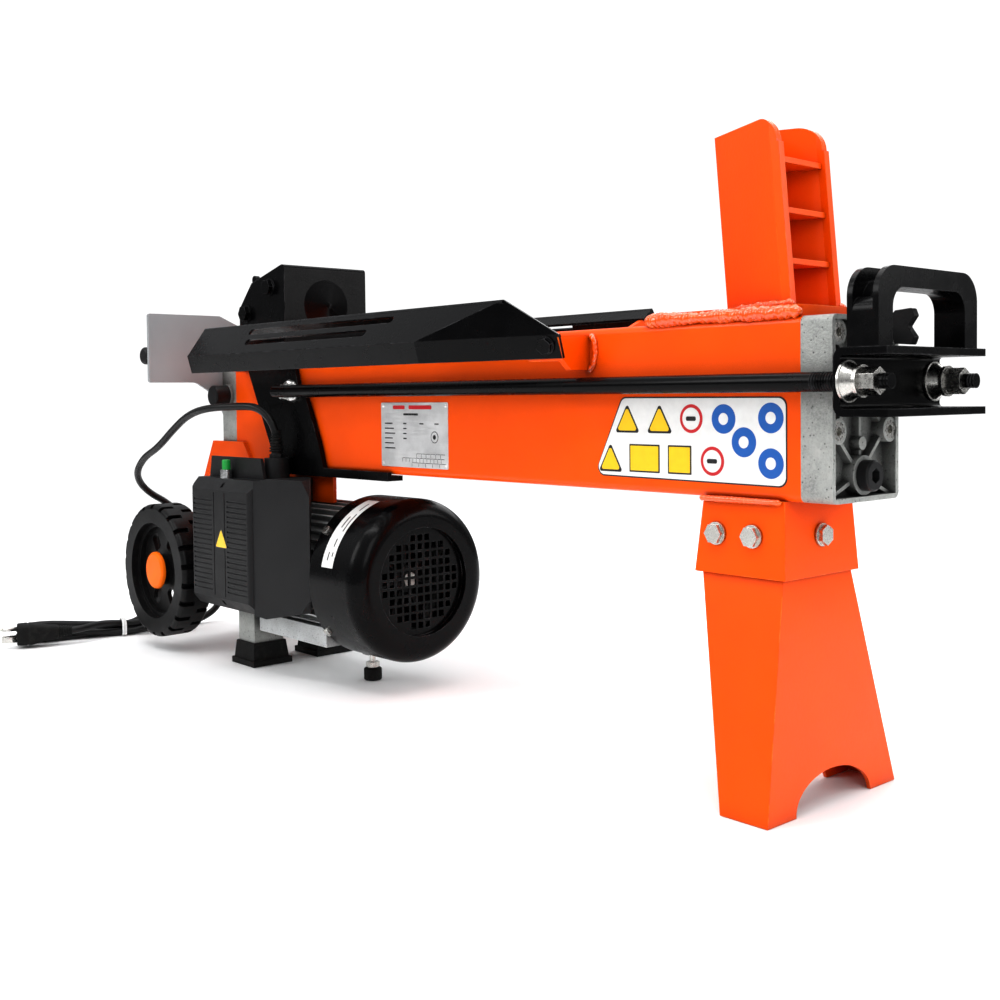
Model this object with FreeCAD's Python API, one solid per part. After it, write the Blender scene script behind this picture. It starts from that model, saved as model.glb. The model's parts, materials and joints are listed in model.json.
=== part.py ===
import FreeCAD, Part
import math
import os

from FreeCAD import Placement, Rotation, Vector as V

# Electric hydraulic log splitter, millimetres, +Z up, standing on its feet on z = 0.
# Everything is laid out in machine coordinates: X = 0 is the outer face of the end cover
# (+X points from the pusher to the wedge), Y = 0 is the centre plane of the beam.
# export() moves each piece so that the origin is the bottom centre of the whole machine.
COVER_X = 434.9
BEAM_Y = 9.95

# Beam, a steel box section that is also the oil tank
BEAM_X0 = -768.0
BEAM_X1 = -24.4
BEAM_HALF_Y = 40.0
BEAM_Z0 = 210.6
BEAM_Z1 = 335.0
BEAM_WALL = 4.0
BLOCK_X0 = -799.0            # outer face of the cast valve block
CYL_Z = 290.7                # axis of the cylinder, the piston rod and the pull rods
CYL_R = 30.0
CYL_BORE_R = 26.0
ROD_R = 12.5
ROD_END_X = 14.0             # back face of the yoke web, where the piston rod pushes

# Ram
PULL_ROD_Y = 52.6
PULL_ROD_R = 6.5
PUSHER_X = -646.0            # front face of the pusher head
HEAD_HALF_Y = 51.0
HEAD_Z1 = 422.0
SHEET = 5.0                  # thickness of the head and carriage sheet
PISTON_X0 = -745.0
PISTON_T = 25.0

# Wedge
WEDGE_Z1 = 473.0
WEDGE_LEAN = math.radians(5.1)
WEDGE_NOSE_X = -114.5
WEDGE_BEND_X = -45.0
WEDGE_BACK_X = -38.0
WEDGE_HALF_Y = 30.0
WEDGE_PLATE = 6.0
BASE_T = 8.0

# Yoke and handle
YOKE_HALF_Y = 61.0
YOKE_Z0 = 268.5
YOKE_Z1 = 312.0
YOKE_X1 = 52.0
YOKE_T = 5.0

# Leg
LEG_BOTTOM_HALF_Y = 77.0
SOCKET_Z0 = 157.5

# Motor and pump
MOTOR_Y = -10.0
MOTOR_Z = 107.0
SHAFT_R = 7.0
STATOR_R = 64.0
FIN_R = 70.0
FAN_R = 79.0
FAN_X0 = -548.0
FAN_X1 = -470.0
GEAR_TEETH = 12
GEAR_GAP = 24.0              # centre distance of the pump gears

# Wheels
WHEEL_X = -846.0
WHEEL_Z = 90.0
WHEEL_R = 75.0
WHEEL_Y0 = 70.0
WHEEL_Y1 = 106.0
AXLE_R = 8.0

# Valve
SPOOL_X = -786.0
SPOOL_Z = 287.0
SPOOL_R = 6.0
LEVER_Y = -10.0
LEVER_Z = 277.0
LEVER_X = -813.0             # middle of the lever bar
CRANK = 10.0                 # throw of the crank pin that pushes the spool

# Switch box
BOX_X0 = -758.0
BOX_X1 = -634.0
BOX_Y0 = -103.0
BOX_Z0 = 64.0
BOX_Z1 = 200.0
WING_X1 = -551.0             # end of the box's wing beside the motor
WING_Z0 = 63.0
WING_Z1 = 203.5
BUTTON = (-708.0, -87.0)
GLAND = (-651.0, -60.0)

# Log trays
TRAY_X0 = -748.0
TRAY_KINK_X = -353.0
TRAY_RIDGE_X1 = -266.0
TRAY_LIP_X1 = -218.0
TRAY_T = 2.5

# Mains lead
CORD_R = 4.0

X = V(1, 0, 0)
Y = V(0, 1, 0)
Z = V(0, 0, 1)

nodes = {}


def box(x0, x1, y0, y1, z0, z1):
    return Part.makeBox(x1 - x0, y1 - y0, z1 - z0, V(x0, y0, z0))


def cyl_x(x0, x1, y, z, r):
    return Part.makeCylinder(r, x1 - x0, V(x0, y, z), X)


def cyl_y(y0, y1, x, z, r):
    return Part.makeCylinder(r, y1 - y0, V(x, y0, z), Y)


def cyl_z(z0, z1, x, y, r):
    return Part.makeCylinder(r, z1 - z0, V(x, y, z0), Z)


def polygon(points):
    """Flat face through the given points."""
    return Part.Face(Part.makePolygon(points + points[:1]))


def prism_xz(points, y0, y1):
    """Solid with an outline in the XZ plane, from y0 to y1."""
    return polygon([V(x, y0, z) for x, z in points]).extrude(V(0, y1 - y0, 0))


def prism_yz(points, x0, x1):
    """Solid with an outline in the YZ plane, from x0 to x1."""
    return polygon([V(x0, y, z) for y, z in points]).extrude(V(x1 - x0, 0, 0))


def prism_xy(points, z0, z1):
    """Solid with an outline in the XY plane, from z0 to z1."""
    return polygon([V(x, y, z0) for x, y in points]).extrude(V(0, 0, z1 - z0))


def hexagon(across, start, axis, length):
    """Hexagonal prism of the given size across flats, along an axis."""
    r = across / math.sqrt(3)
    flat = [V(r * math.cos(math.radians(60 * i)), r * math.sin(math.radians(60 * i)), 0) for i in range(6)]
    solid = polygon(flat).extrude(V(0, 0, length))
    solid.Placement = Placement(start, Rotation(Z, axis))
    return solid


def bolt(start, axis, head_r, head_t, r, length):
    """Bolt with a low round-edged hexagon head: start is under the head, axis along the shank."""
    head = hexagon(head_r * 1.8, start - axis * head_t, axis, head_t)
    washer = Part.makeCylinder(head_r * 1.15, 1.2, start - axis * 1.2, axis)
    return head.fuse(washer).fuse(Part.makeCylinder(r, length, start, axis)).removeSplitter()


def fuse(shapes):
    """One solid from overlapping shapes."""
    return shapes[0].multiFuse(shapes[1:]).removeSplitter()


def edges_along(shape, axis, longer_than=5.0):
    """Straight edges of a shape that run along an axis."""
    found = []
    for edge in shape.Edges:
        if len(edge.Vertexes) == 2 and isinstance(edge.Curve, Part.Line):
            step = edge.Vertexes[1].Point - edge.Vertexes[0].Point
            if step.Length > longer_than and step.cross(axis).Length < 1e-4 * step.Length:
                found.append(edge)
    return found


def add(name, *shapes):
    nodes[name] = list(shapes)


def both_sides(make):
    """The same piece on the near (-1) and the far (+1) side."""
    return [make(-1), make(1)]


def mirror_y(shape):
    return shape.mirror(V(0, 0, 0), Y)


# ---------------------------------------------------------------- beam, cylinder and covers

def make_beam():
    outer = box(BEAM_X0, BEAM_X1, -BEAM_HALF_Y, BEAM_HALF_Y, BEAM_Z0, BEAM_Z1)
    outer = outer.makeFillet(5.0, edges_along(outer, X))
    inner = box(BEAM_X0 - 1, BEAM_X1 + 1, -BEAM_HALF_Y + BEAM_WALL, BEAM_HALF_Y - BEAM_WALL,
                BEAM_Z0 + BEAM_WALL, BEAM_Z1 - BEAM_WALL)
    return outer.cut(inner)


def tie_bolt_places():
    return [(y, CYL_Z + dz) for y in (-31.0, 31.0) for dz in (-32.5, 32.5)]


def make_tie_bolt(y, z):
    shank = cyl_x(BLOCK_X0 + 12, -8.0, y, z, 4.0)
    head = cyl_x(-8.0, -1.0, y, z, 6.5).cut(hexagon(6.0, V(-5.0, y, z), X, 6.0))
    return shank.fuse(head)


PLUG_Z = 228.0
BLEED_Y = 8.0
BLEED_Z = 326.5


def make_end_cover():
    """Cast cover with raised rim, tie-bolt bosses, ribs, a rod boss and a plug boss."""
    solid = box(BEAM_X1, 0, -BEAM_HALF_Y, BEAM_HALF_Y, BEAM_Z0, BEAM_Z1)
    solid = solid.makeFillet(5.0, edges_along(solid, X))
    solid = solid.cut(box(-11.0, 1, -36.5, 36.5, BEAM_Z0 + 3.5, BEAM_Z1 - 3.5))
    raised = [solid, cyl_x(-12, -0.5, 0, CYL_Z, 22.0), cyl_x(-12, -1.5, 0, PLUG_Z, 13.5)]
    raised += [cyl_x(-12, -1.0, y, z, 8.6) for y, z in tie_bolt_places()]
    raised.append(cyl_x(-12, -3.0, 0, 249.5, 4.5))
    raised.append(cyl_x(-12, -2.0, BLEED_Y, BLEED_Z, 7.0))
    for y, z in tie_bolt_places():
        raised.append(rib_x(-12, -5.0, (0, CYL_Z), (y, z), 2.6))
        if z < CYL_Z:
            raised.append(rib_x(-12, -5.0, (0, PLUG_Z), (y, z), 2.6))
    for side in (-1, 1):
        raised.append(rib_x(-12, -5.0, (0, PLUG_Z), (side * 36.8, BEAM_Z0 + 3.2), 2.6))
    raised.append(rib_x(-12, -5.0, (0, PLUG_Z), (0, CYL_Z), 2.6))
    solid = fuse(raised)
    inside = box(BEAM_X1, 1, -BEAM_HALF_Y, BEAM_HALF_Y, BEAM_Z0, BEAM_Z1)
    solid = solid.common(inside.makeFillet(5.0, edges_along(inside, X)))
    solid = solid.cut(cyl_x(BEAM_X1 - 1, 1, 0, CYL_Z, 16.0))
    solid = solid.cut(cyl_x(BEAM_X1 - 1, 1, 0, PLUG_Z, 8.0))
    solid = solid.cut(cyl_x(-14.0, 1, BLEED_Y, BLEED_Z, 3.05))
    for y, z in tie_bolt_places():
        solid = solid.cut(cyl_x(BEAM_X1 - 1, -7, y, z, 4.1)).cut(cyl_x(-8.0, 1, y, z, 6.6))
    return solid


def rib_x(x0, x1, a, b, thickness):
    """Upright web between two points of the YZ plane."""
    length = math.hypot(b[0] - a[0], b[1] - a[1])
    turn = math.degrees(math.atan2(b[1] - a[1], b[0] - a[0]))
    web = Part.makeBox(x1 - x0, length, thickness, V(0, 0, -thickness / 2))
    web.Placement = Placement(V(x0, a[0], a[1]), Rotation(X, turn))
    return web


def make_oil_plug():
    """Hexagon-socket oil filler plug with a dipstick."""
    head = cyl_x(-1.5, 7.0, 0, PLUG_Z, 10.5)
    head = head.makeChamfer(1.2, [e for e in head.Edges if abs(e.BoundBox.XMax - 7.0) < 0.01])
    head = head.cut(hexagon(9.0, V(1.0, 0, PLUG_Z), X, 8.0))
    thread = cyl_x(-23.0, -1.4, 0, PLUG_Z, 7.9)
    stick = cyl_x(-150.0, -22.9, 0, PLUG_Z, 2.5)
    return fuse([head, thread, stick])


def make_bleed_screw():
    """Air bleed screw with a wing grip."""
    stem = cyl_x(-13.0, 15.0, BLEED_Y, BLEED_Z, 3.0)
    collar = cyl_x(-1.5, 13.0, BLEED_Y, BLEED_Z, 5.0)
    grip = prism_xz([(12, BLEED_Z - 4), (18, BLEED_Z - 11), (30, BLEED_Z - 12), (32, BLEED_Z - 7),
                     (27, BLEED_Z), (32, BLEED_Z + 7), (30, BLEED_Z + 12), (18, BLEED_Z + 11),
                     (12, BLEED_Z + 4)], BLEED_Y - 3.0, BLEED_Y + 3.0)
    grip = grip.makeFillet(1.4, edges_along(grip, Y))
    return fuse([stem, collar, grip])


def make_valve_block():
    solid = box(BLOCK_X0, BEAM_X0, -39.5, 39.5, BEAM_Z0, BEAM_Z1 - 0.5)
    solid = solid.makeFillet(3.0, edges_along(solid, X))
    solid = solid.fuse(cyl_y(-43.0, -39.0, SPOOL_X, SPOOL_Z, 13.0))
    solid = solid.cut(cyl_y(-44.0, 35.5, SPOOL_X, SPOOL_Z, SPOOL_R + 0.05))
    solid = solid.cut(cyl_x(BLOCK_X0 - 1, BLOCK_X0 + 6.0, LEVER_Y, LEVER_Z, 13.6))
    solid = solid.cut(box(BLOCK_X0 + 5, SPOOL_X, LEVER_Y - 8, LEVER_Y + 5, SPOOL_Z - 5.5, SPOOL_Z + 4.5))
    solid = solid.cut(cyl_x(SPOOL_X, BEAM_X0 + 1, 0, CYL_Z, 5.0))
    solid = solid.cut(cyl_z(BEAM_Z0 - 1, SPOOL_Z, SPOOL_X, 20.0, 4.0))
    for y, z in tie_bolt_places():
        solid = solid.cut(cyl_x(BLOCK_X0 + 11, BEAM_X0 + 1, y, z, 4.0))
    for y, z in guard_bolt_places():
        solid = solid.cut(cyl_x(BLOCK_X0 - 1, BLOCK_X0 + 12, y, z, 4.0))
    return solid


def guard_bolt_places():
    return [(28.0, 322.0), (28.0, 228.0), (-28.0, 228.0)]


def make_valve_cap():
    cap = cyl_y(-60.0, -43.0, SPOOL_X, SPOOL_Z, 11.5)
    cap = cap.makeFillet(2.0, [e for e in cap.Edges if abs(e.BoundBox.YMin + 60) < 0.01
                               and abs(e.BoundBox.YMax + 60) < 0.01])
    return cap.cut(cyl_y(-56.0, -42.0, SPOOL_X, SPOOL_Z, 8.0))


def make_spool():
    spool = cyl_y(-38.0, 30.0, SPOOL_X, SPOOL_Z, SPOOL_R)
    for y0 in (-28.0, 14.0):
        ring = cyl_y(y0, y0 + 8, SPOOL_X, SPOOL_Z, SPOOL_R + 1).cut(
            cyl_y(y0 - 1, y0 + 9, SPOOL_X, SPOOL_Z, SPOOL_R - 1.8))
        spool = spool.cut(ring)
    pin_slot = box(SPOOL_X - 7, SPOOL_X - 1.2, LEVER_Y - 2.8, LEVER_Y + 2.8, SPOOL_Z - 7, SPOOL_Z + 7)
    return spool.cut(pin_slot)


def make_guard_plate():
    """Plate that shields the hand on the valve lever, flat against the back of the block."""
    plate = prism_yz([(-128, 302), (-128, 377), (-42, 377), (-22, 368), (36, 345), (36, 222),
                      (-36, 222), (-36, 262), (-46, 286), (-72, 302)], BLOCK_X0 - 4.0, BLOCK_X0)
    near = [e for e in edges_along(plate, X, 1.0) if e.Vertexes[0].Point.y < -100]
    plate = plate.makeFillet(2.5, near)
    hollow = [e for e in edges_along(plate, X, 1.0)
              if e.Vertexes[0].Point.y < -40 and 280 < e.Vertexes[0].Point.z < 305]
    plate = plate.makeFillet(12.0, [e for e in hollow if e.Vertexes[0].Point.y > -75])
    plate = plate.cut(cyl_x(BLOCK_X0 - 5, BLOCK_X0 + 1, LEVER_Y, LEVER_Z, 6.05))
    for y, z in guard_bolt_places():
        plate = plate.cut(cyl_x(BLOCK_X0 - 5, BLOCK_X0 + 1, y, z, 4.0))
    return plate


def make_valve_lever():
    """Bent lever welded to a shaft, with a crank pin that moves the spool."""
    x0, x1 = LEVER_X - 3.0, LEVER_X + 3.0
    bar = [cyl_x(x0, x1, LEVER_Y, LEVER_Z, 11.0),
           box(x0, x1, LEVER_Y - 7, LEVER_Y + 7, LEVER_Z, 331.0),
           cyl_x(x0, x1, LEVER_Y, 331.0, 7.0),
           box(x0, x1, -122.0, LEVER_Y, 325.0, 338.0)]
    shaft = cyl_x(LEVER_X, BLOCK_X0 + 2, LEVER_Y, LEVER_Z, 6.0)
    disc = cyl_x(BLOCK_X0 + 0.6, BLOCK_X0 + 5.4, LEVER_Y, LEVER_Z, 13.2)
    pin = cyl_x(BLOCK_X0 + 5, SPOOL_X - 1.8, LEVER_Y, LEVER_Z + CRANK, 2.4)
    return fuse(bar + [shaft, disc, pin])


def make_lever_knob():
    knob = cyl_y(-129.0, -108.0, LEVER_X, 331.5, 9.5)
    ends = [e for e in knob.Edges if e.BoundBox.YLength < 0.01]
    knob = knob.makeFillet(4.0, ends)
    return knob.cut(box(LEVER_X - 3, LEVER_X + 3, -122.0, -107.0, 325.0, 338.0))


# ---------------------------------------------------------------- ram

def make_piston_rod():
    rod = cyl_x(PISTON_X0 + PISTON_T, ROD_END_X, 0, CYL_Z, ROD_R)
    return rod.fuse(cyl_x(PISTON_X0 - 3, PISTON_X0 + PISTON_T + 1, 0, CYL_Z, 9.0))


def make_piston():
    piston = cyl_x(PISTON_X0, PISTON_X0 + PISTON_T, 0, CYL_Z, CYL_BORE_R - 0.08)
    for x in (PISTON_X0 + 4, PISTON_X0 + 11, PISTON_X0 + 18):
        ring = cyl_x(x, x + 3, 0, CYL_Z, CYL_BORE_R).cut(cyl_x(x - 1, x + 4, 0, CYL_Z, CYL_BORE_R - 2))
        piston = piston.cut(ring)
    return piston.cut(cyl_x(PISTON_X0 - 1, PISTON_X0 + PISTON_T + 1, 0, CYL_Z, 9.0))


def make_return_spring():
    x0 = PISTON_X0 + PISTON_T + 2
    length = BEAM_X1 - 4 - x0
    turns = 30
    helix = Part.makeHelix(length / turns, length, 19.0)
    circle = Part.Wire(Part.Circle(V(19.0, 0, 0), Y, 1.8).toShape())
    spring = Part.Wire(helix).makePipeShell([circle], True, True)
    spring.Placement = Placement(V(x0, 0, CYL_Z), Rotation(Z, X))
    return spring


def make_yoke():
    """Folded channel across the machine, open towards +X."""
    solid = box(ROD_END_X, YOKE_X1, -YOKE_HALF_Y, YOKE_HALF_Y, YOKE_Z0, YOKE_Z1)
    back = [e for e in edges_along(solid, Y) if abs(e.Vertexes[0].Point.x - ROD_END_X) < 0.01]
    solid = solid.makeFillet(7.0, back)
    inner = box(ROD_END_X + YOKE_T, YOKE_X1 + 9, -YOKE_HALF_Y - 1, YOKE_HALF_Y + 1,
                YOKE_Z0 + YOKE_T, YOKE_Z1 - YOKE_T)
    back = [e for e in edges_along(inner, Y) if abs(e.Vertexes[0].Point.x - ROD_END_X - YOKE_T) < 0.01]
    solid = solid.cut(inner.makeFillet(2.5, back))
    for side in (-1, 1):
        solid = solid.cut(cyl_x(ROD_END_X - 1, YOKE_X1 + 1, side * PULL_ROD_Y, CYL_Z, 5.2))
    return solid


def arch(x0, x1, half_y, z0, z1, radius):
    """Block with its two upper edges along X rounded."""
    solid = box(x0, x1, -half_y, half_y, z0, z1)
    top = [e for e in edges_along(solid, X) if abs(e.Vertexes[0].Point.z - z1) < 0.01]
    return solid.makeFillet(radius, top)


def make_handle():
    """D-shaped pull handle of channel section: rims front and back, a web between them."""
    x0, x1 = 24.0, 46.0
    z0, z1 = YOKE_Z1, 362.0
    solid = arch(x0, x1, YOKE_HALF_Y, z0, z1, 19.0)
    solid = solid.cut(arch(x0 - 1, x1 + 1, 44.5, z0 - 5, z1 - 13, 13.0))
    groove = arch(x0 + 4, x1 - 4, YOKE_HALF_Y + 9, z0 + 22, z1 + 9, 19.0)
    groove = groove.cut(arch(x0, x1, YOKE_HALF_Y - 10.5, z0, z1 - 8, 15.0))
    shoulder = [cyl_x(x0 + 3, x1 - 3, side * (YOKE_HALF_Y - 9), z0 + 22, 9.0) for side in (-1, 1)]
    return solid.cut(groove.cut(shoulder[0]).cut(shoulder[1]))


def make_pull_rod(side):
    """Side rod: plain shank welded to the carriage plate, threaded at the yoke."""
    y = side * PULL_ROD_Y
    rod = cyl_x(-664.0, ROD_END_X - 2, y, CYL_Z, PULL_ROD_R).fuse(cyl_x(0.0, 50.0, y, CYL_Z, 5.0))
    grooves = [ring_x(x, 1.0, y, PULL_ROD_R - 0.9, PULL_ROD_R + 1) for x in range(-5, 12, 2)]
    grooves += [ring_x(x, 1.2, y, 4.4, 5.6) for x in (46, 48)]
    return rod.cut(Part.makeCompound(grooves))


def ring_x(x0, width, y, r0, r1):
    return cyl_x(x0, x0 + width, y, CYL_Z, r1).cut(cyl_x(x0 - 1, x0 + width + 1, y, CYL_Z, r0))


def make_rod_nut_set(side):
    """Dished washer, flange nut and a jam nut behind the web."""
    y = side * PULL_ROD_Y
    x0 = ROD_END_X + YOKE_T
    dish = Part.makeCone(13.5, 8.5, 9.0, V(x0, y, CYL_Z), X)
    rim = cyl_x(x0, x0 + 1.6, y, CYL_Z, 13.5)
    flange = cyl_x(x0 + 9.0, x0 + 11.5, y, CYL_Z, 10.5)
    nut = hexagon(15.5, V(x0 + 11.0, y, CYL_Z), X, 12.0)
    hole = cyl_x(x0 - 1, x0 + 40, y, CYL_Z, 5.0)
    washer = fuse([dish, rim]).cut(hole)
    return [washer, fuse([flange, nut]).cut(hole)]


def head_cheek_outline():
    return [(PUSHER_X, HEAD_Z1), (-652, HEAD_Z1), (-712, 407), (-738, 381), (-738, 342), (PUSHER_X, 342)]


def make_pusher_head():
    """Folded head: front plate with a pressed centring cone, a top flange and two cheeks."""
    front = box(PUSHER_X - 6, PUSHER_X, -HEAD_HALF_Y, HEAD_HALF_Y, 342.0, HEAD_Z1)
    top = box(PUSHER_X - 24, PUSHER_X, -HEAD_HALF_Y, HEAD_HALF_Y, HEAD_Z1 - 5, HEAD_Z1)
    cheeks = [prism_xz(head_cheek_outline(), side * HEAD_HALF_Y, side * (HEAD_HALF_Y - SHEET))
              for side in (-1, 1)]
    solid = fuse([front, top] + cheeks)
    solid = solid.common(prism_xz(head_cheek_outline(), -HEAD_HALF_Y, HEAD_HALF_Y))
    fold = [e for e in edges_along(solid, Y, 60.0)
            if abs(e.Vertexes[0].Point.x - PUSHER_X) < 0.01 and e.Vertexes[0].Point.z > 400]
    solid = solid.makeFillet(4.0, fold)
    solid = solid.fuse(Part.makeCone(29.0, 0.0, 8.0, V(PUSHER_X - 0.5, 0, 381.0), X)).removeSplitter()
    for side in (-1, 1):
        for x, z in head_bolt_places():
            solid = solid.cut(cyl_y(min(side * 40, side * 60), max(side * 40, side * 60), x, z, 5.0))
    return solid


def head_bolt_places():
    return [(-674.0, 400.0), (-722.0, 375.0)]


def make_carriage_plate(side):
    """Side plate: bolted in the head, hanging down the beam, with a guide lip under it."""
    outline = [(-734, 378), (-712, 401), (-660, 411), (-654, 340), (-640, 330), (-636, 312),
               (-631, 297), (-617, 284), (-595, 239), (-583, 204.5), (-674, 204.5), (-684, 228),
               (-730, 313), (-738, 338)]
    plate = prism_xz(outline, side * 41.0, side * 46.0)
    lip = box(-674.0, -478.0, min(side * 28, side * 46), max(side * 28, side * 46), 204.5, 209.3)
    strip = box(-600.0, -478.0, min(side * 41, side * 46), max(side * 41, side * 46), 204.5, 213.0)
    plate = fuse([plate, lip, strip])
    if side < 0:
        hook = box(-716, -708, -46.0, -41.0, 395, 412).fuse(cyl_y(-46.0, -41.0, -714.5, 411.0, 4.5))
        plate = plate.fuse(hook).removeSplitter()
    for x, z in head_bolt_places():
        plate = plate.cut(cyl_y(min(side * 40, side * 60), max(side * 40, side * 60), x, z, 5.0))
    return plate


def make_head_bolt(side, x, z):
    start = V(x, side * HEAD_HALF_Y, z)
    return bolt(start, V(0, -side, 0), 8.0, 6.5, 5.0, 17.0)


def make_slide_pad():
    pad = box(-735.0, -655.0, -40.6, 40.6, BEAM_Z1 + 0.4, 341.6)
    return pad.makeChamfer(1.5, [e for e in edges_along(pad, Y)])


# ---------------------------------------------------------------- wedge

def wedge_outline(inset):
    """Plan of the wedge at its foot, all faces moved in by inset."""
    nose = WEDGE_NOSE_X + inset * 2.35
    bend = WEDGE_BEND_X + inset * 0.2
    half = WEDGE_HALF_Y - inset
    back = WEDGE_BACK_X + (1.0 if inset else 0.0)
    return [(nose, 0.0), (bend, -half), (back, -half), (back, half), (bend, half)]


def leaning(outline, z0, z1):
    """Prism whose outline moves towards -X with height, as the wedge leans."""
    rise = z1 - z0
    face = polygon([V(x - (z0 - BEAM_Z1) * math.tan(WEDGE_LEAN), y, z0) for x, y in outline])
    return face.extrude(V(-rise * math.tan(WEDGE_LEAN), 0, rise))


def make_wedge_blade():
    z0 = BEAM_Z1 + BASE_T
    solid = leaning(wedge_outline(0.0), z0, WEDGE_Z1)
    solid = solid.cut(leaning(wedge_outline(WEDGE_PLATE), z0 - 1, WEDGE_Z1 + 1))
    lean = (WEDGE_Z1 - BEAM_Z1) * math.tan(WEDGE_LEAN)
    corner = WEDGE_BACK_X - lean
    keep = prism_xz([(-200, z0), (0, z0), (0, WEDGE_Z1), (-200, WEDGE_Z1)], -60, 60)
    notch_r = 18.0
    cutter = box(corner - notch_r, corner + 9, -60, 60, WEDGE_Z1 - notch_r, WEDGE_Z1 + 9)
    cutter = cutter.cut(cyl_y(-61, 61, corner - notch_r, WEDGE_Z1 - notch_r, notch_r))
    return solid.common(keep).cut(cutter)


def make_wedge_rib(z):
    """Level stiffening plate inside the open back of the wedge."""
    outline = wedge_outline(WEDGE_PLATE)
    back = WEDGE_BACK_X - 3.0
    outline = [outline[0], outline[1], (back, outline[1][1]), (back, outline[4][1]), outline[4]]
    return leaning(outline, z, z + 4.0)


def make_wedge_base():
    base = box(-160.0, -27.0, -38.0, 38.0, BEAM_Z1, BEAM_Z1 + BASE_T)
    corners = edges_along(base, Z)
    return base.makeFillet(6.0, corners)


# ---------------------------------------------------------------- leg

def rect(x0, x1, half_y, z):
    return Part.makePolygon([V(x0, -half_y, z), V(x1, -half_y, z), V(x1, half_y, z), V(x0, half_y, z),
                             V(x0, -half_y, z)])


def taper(bottom, top):
    return Part.makeLoft([rect(*bottom), rect(*top)], True, True)


def make_leg_socket():
    outer = taper((-111, -34, 44.2, SOCKET_Z0), (-106, -37, 40.2, BEAM_Z0))
    inner = taper((-108, -37, 41.2, SOCKET_Z0 - 1), (-103, -40, 37.2, BEAM_Z0 - 4))
    return cut_leg_holes(outer.cut(inner))


def make_front_leg():
    t = 3.0
    lower = taper((-64, -25, LEG_BOTTOM_HALF_Y, 0), (-106.8, -38.2, 40.6, SOCKET_Z0))
    upper = taper((-106.8, -38.2, 40.6, SOCKET_Z0), (-102.6, -40.4, 36.8, BEAM_Z0 - 5))
    lower_in = taper((-64 + t, -25 - t, LEG_BOTTOM_HALF_Y - t, -0.5), (-106.8 + t, -38.2 - t, 40.6 - t, SOCKET_Z0))
    upper_in = taper((-106.8 + t, -38.2 - t, 40.6 - t, SOCKET_Z0), (-102.6 + t, -40.4 - t, 36.8 - t, BEAM_Z0 - 4))
    leg = lower.fuse(upper).cut(lower_in).cut(upper_in)
    ellipse = Part.Ellipse(V(-150, 45.0, 0), V(-150, 0, 24.5), V(-150, 0, 0))
    opening = Part.Face(Part.Wire(ellipse.toShape())).extrude(V(200.0, 0, 0))
    return cut_leg_holes(leg.cut(opening).removeSplitter())


def leg_bolt_places():
    """Start under the head and direction of each leg bolt."""
    z = 185.5
    places = [(V(x, side * 42.75, z), V(0, -side, 0)) for x in (-93.0, -62.0) for side in (-1, 1)]
    places.append((V(-35.0, 0, z), V(-1, 0, 0)))
    places.append((V(-109.2, 0, z), V(1, 0, 0)))
    return places


def cut_leg_holes(solid):
    for start, axis in leg_bolt_places():
        solid = solid.cut(Part.makeCylinder(4.1, 24.0, start - axis * 6, axis))
    return solid


def make_leg_bolt_set(start, axis):
    screw = bolt(start, axis, 7.0, 5.0, 4.0, 17.0)
    nut = hexagon(13.0, start + axis * 8.5, axis, 6.0)
    nut = nut.cut(Part.makeCylinder(4.0, 30, start, axis))
    return [screw, nut]


# ---------------------------------------------------------------- trays

RIDGE = (-87.5, 359.0)
CREASE = (-109.0, 329.0)
RETURN_FLANGE = (-76.0, 350.0)
TURNED_Y = -74.0


def sheet(points, inside):
    """Flat sheet through the points, thickened by TRAY_T towards the point called inside."""
    face = polygon(points)
    normal = face.normalAt(0, 0)
    if (inside - points[0]).dot(normal) < 0:
        normal = normal * -1
    return face.extrude(normal * TRAY_T)


def make_tray():
    """Folded tray: a sloping slotted panel, a lip turned down, and a corner folded in at one end."""
    inside = V(-500, -90, 330)
    ridge0, ridge1 = V(TRAY_X0, *RIDGE), V(TRAY_RIDGE_X1, *RIDGE)
    crease0, kink = V(TRAY_X0, *CREASE), V(TRAY_KINK_X, *CREASE)
    turned = V(TRAY_LIP_X1, TURNED_Y, CREASE[1] + 1)
    drop = TRAY_DROP
    panels = [sheet([ridge0, ridge1, kink, crease0], inside),
              sheet([ridge1, turned, kink], V(-330, -80, 325)),
              sheet([crease0, kink, kink + drop, crease0 + drop], inside),
              sheet([kink, turned, turned + drop, kink + drop], V(-330, -70, 322)),
              sheet([ridge0, ridge1, V(TRAY_RIDGE_X1, *RETURN_FLANGE), V(TRAY_X0, *RETURN_FLANGE)],
                    V(-500, -85, 340))]
    solid = fuse(panels)
    for x0, x1, t in ((-641.0, -405.0, 0.28), (-636.0, -436.0, 0.63)):
        solid = solid.cut(tray_slot(x0, x1, t))
    return solid.cut(tray_bolt_hole())


def tray_slot(x0, x1, t):
    """Long rounded slot across the sloping panel, t of the way from ridge to crease."""
    y = RIDGE[0] + (CREASE[0] - RIDGE[0]) * t
    z = RIDGE[1] + (CREASE[1] - RIDGE[1]) * t
    half = 3.6
    slot = box(x0, x1, -half, half, -6, 6).fuse(cyl_z(-6, 6, x0, 0, half)).fuse(cyl_z(-6, 6, x1, 0, half))
    tilt = math.degrees(math.atan2(RIDGE[1] - CREASE[1], RIDGE[0] - CREASE[0]))
    slot.Placement = Placement(V(0, y, z), Rotation(X, tilt))
    return slot


TRAY_BOLT = V(-231.0, -75.2, 322.0)
TRAY_DROP = V(0, 5.0, -18.0)
TRAY_BOLT_AXIS = V(135.0, 35.0, 1.0).cross(TRAY_DROP).normalize()
TRAY_TURN_X = (TRAY_X0 + TRAY_RIDGE_X1) / 2


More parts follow.
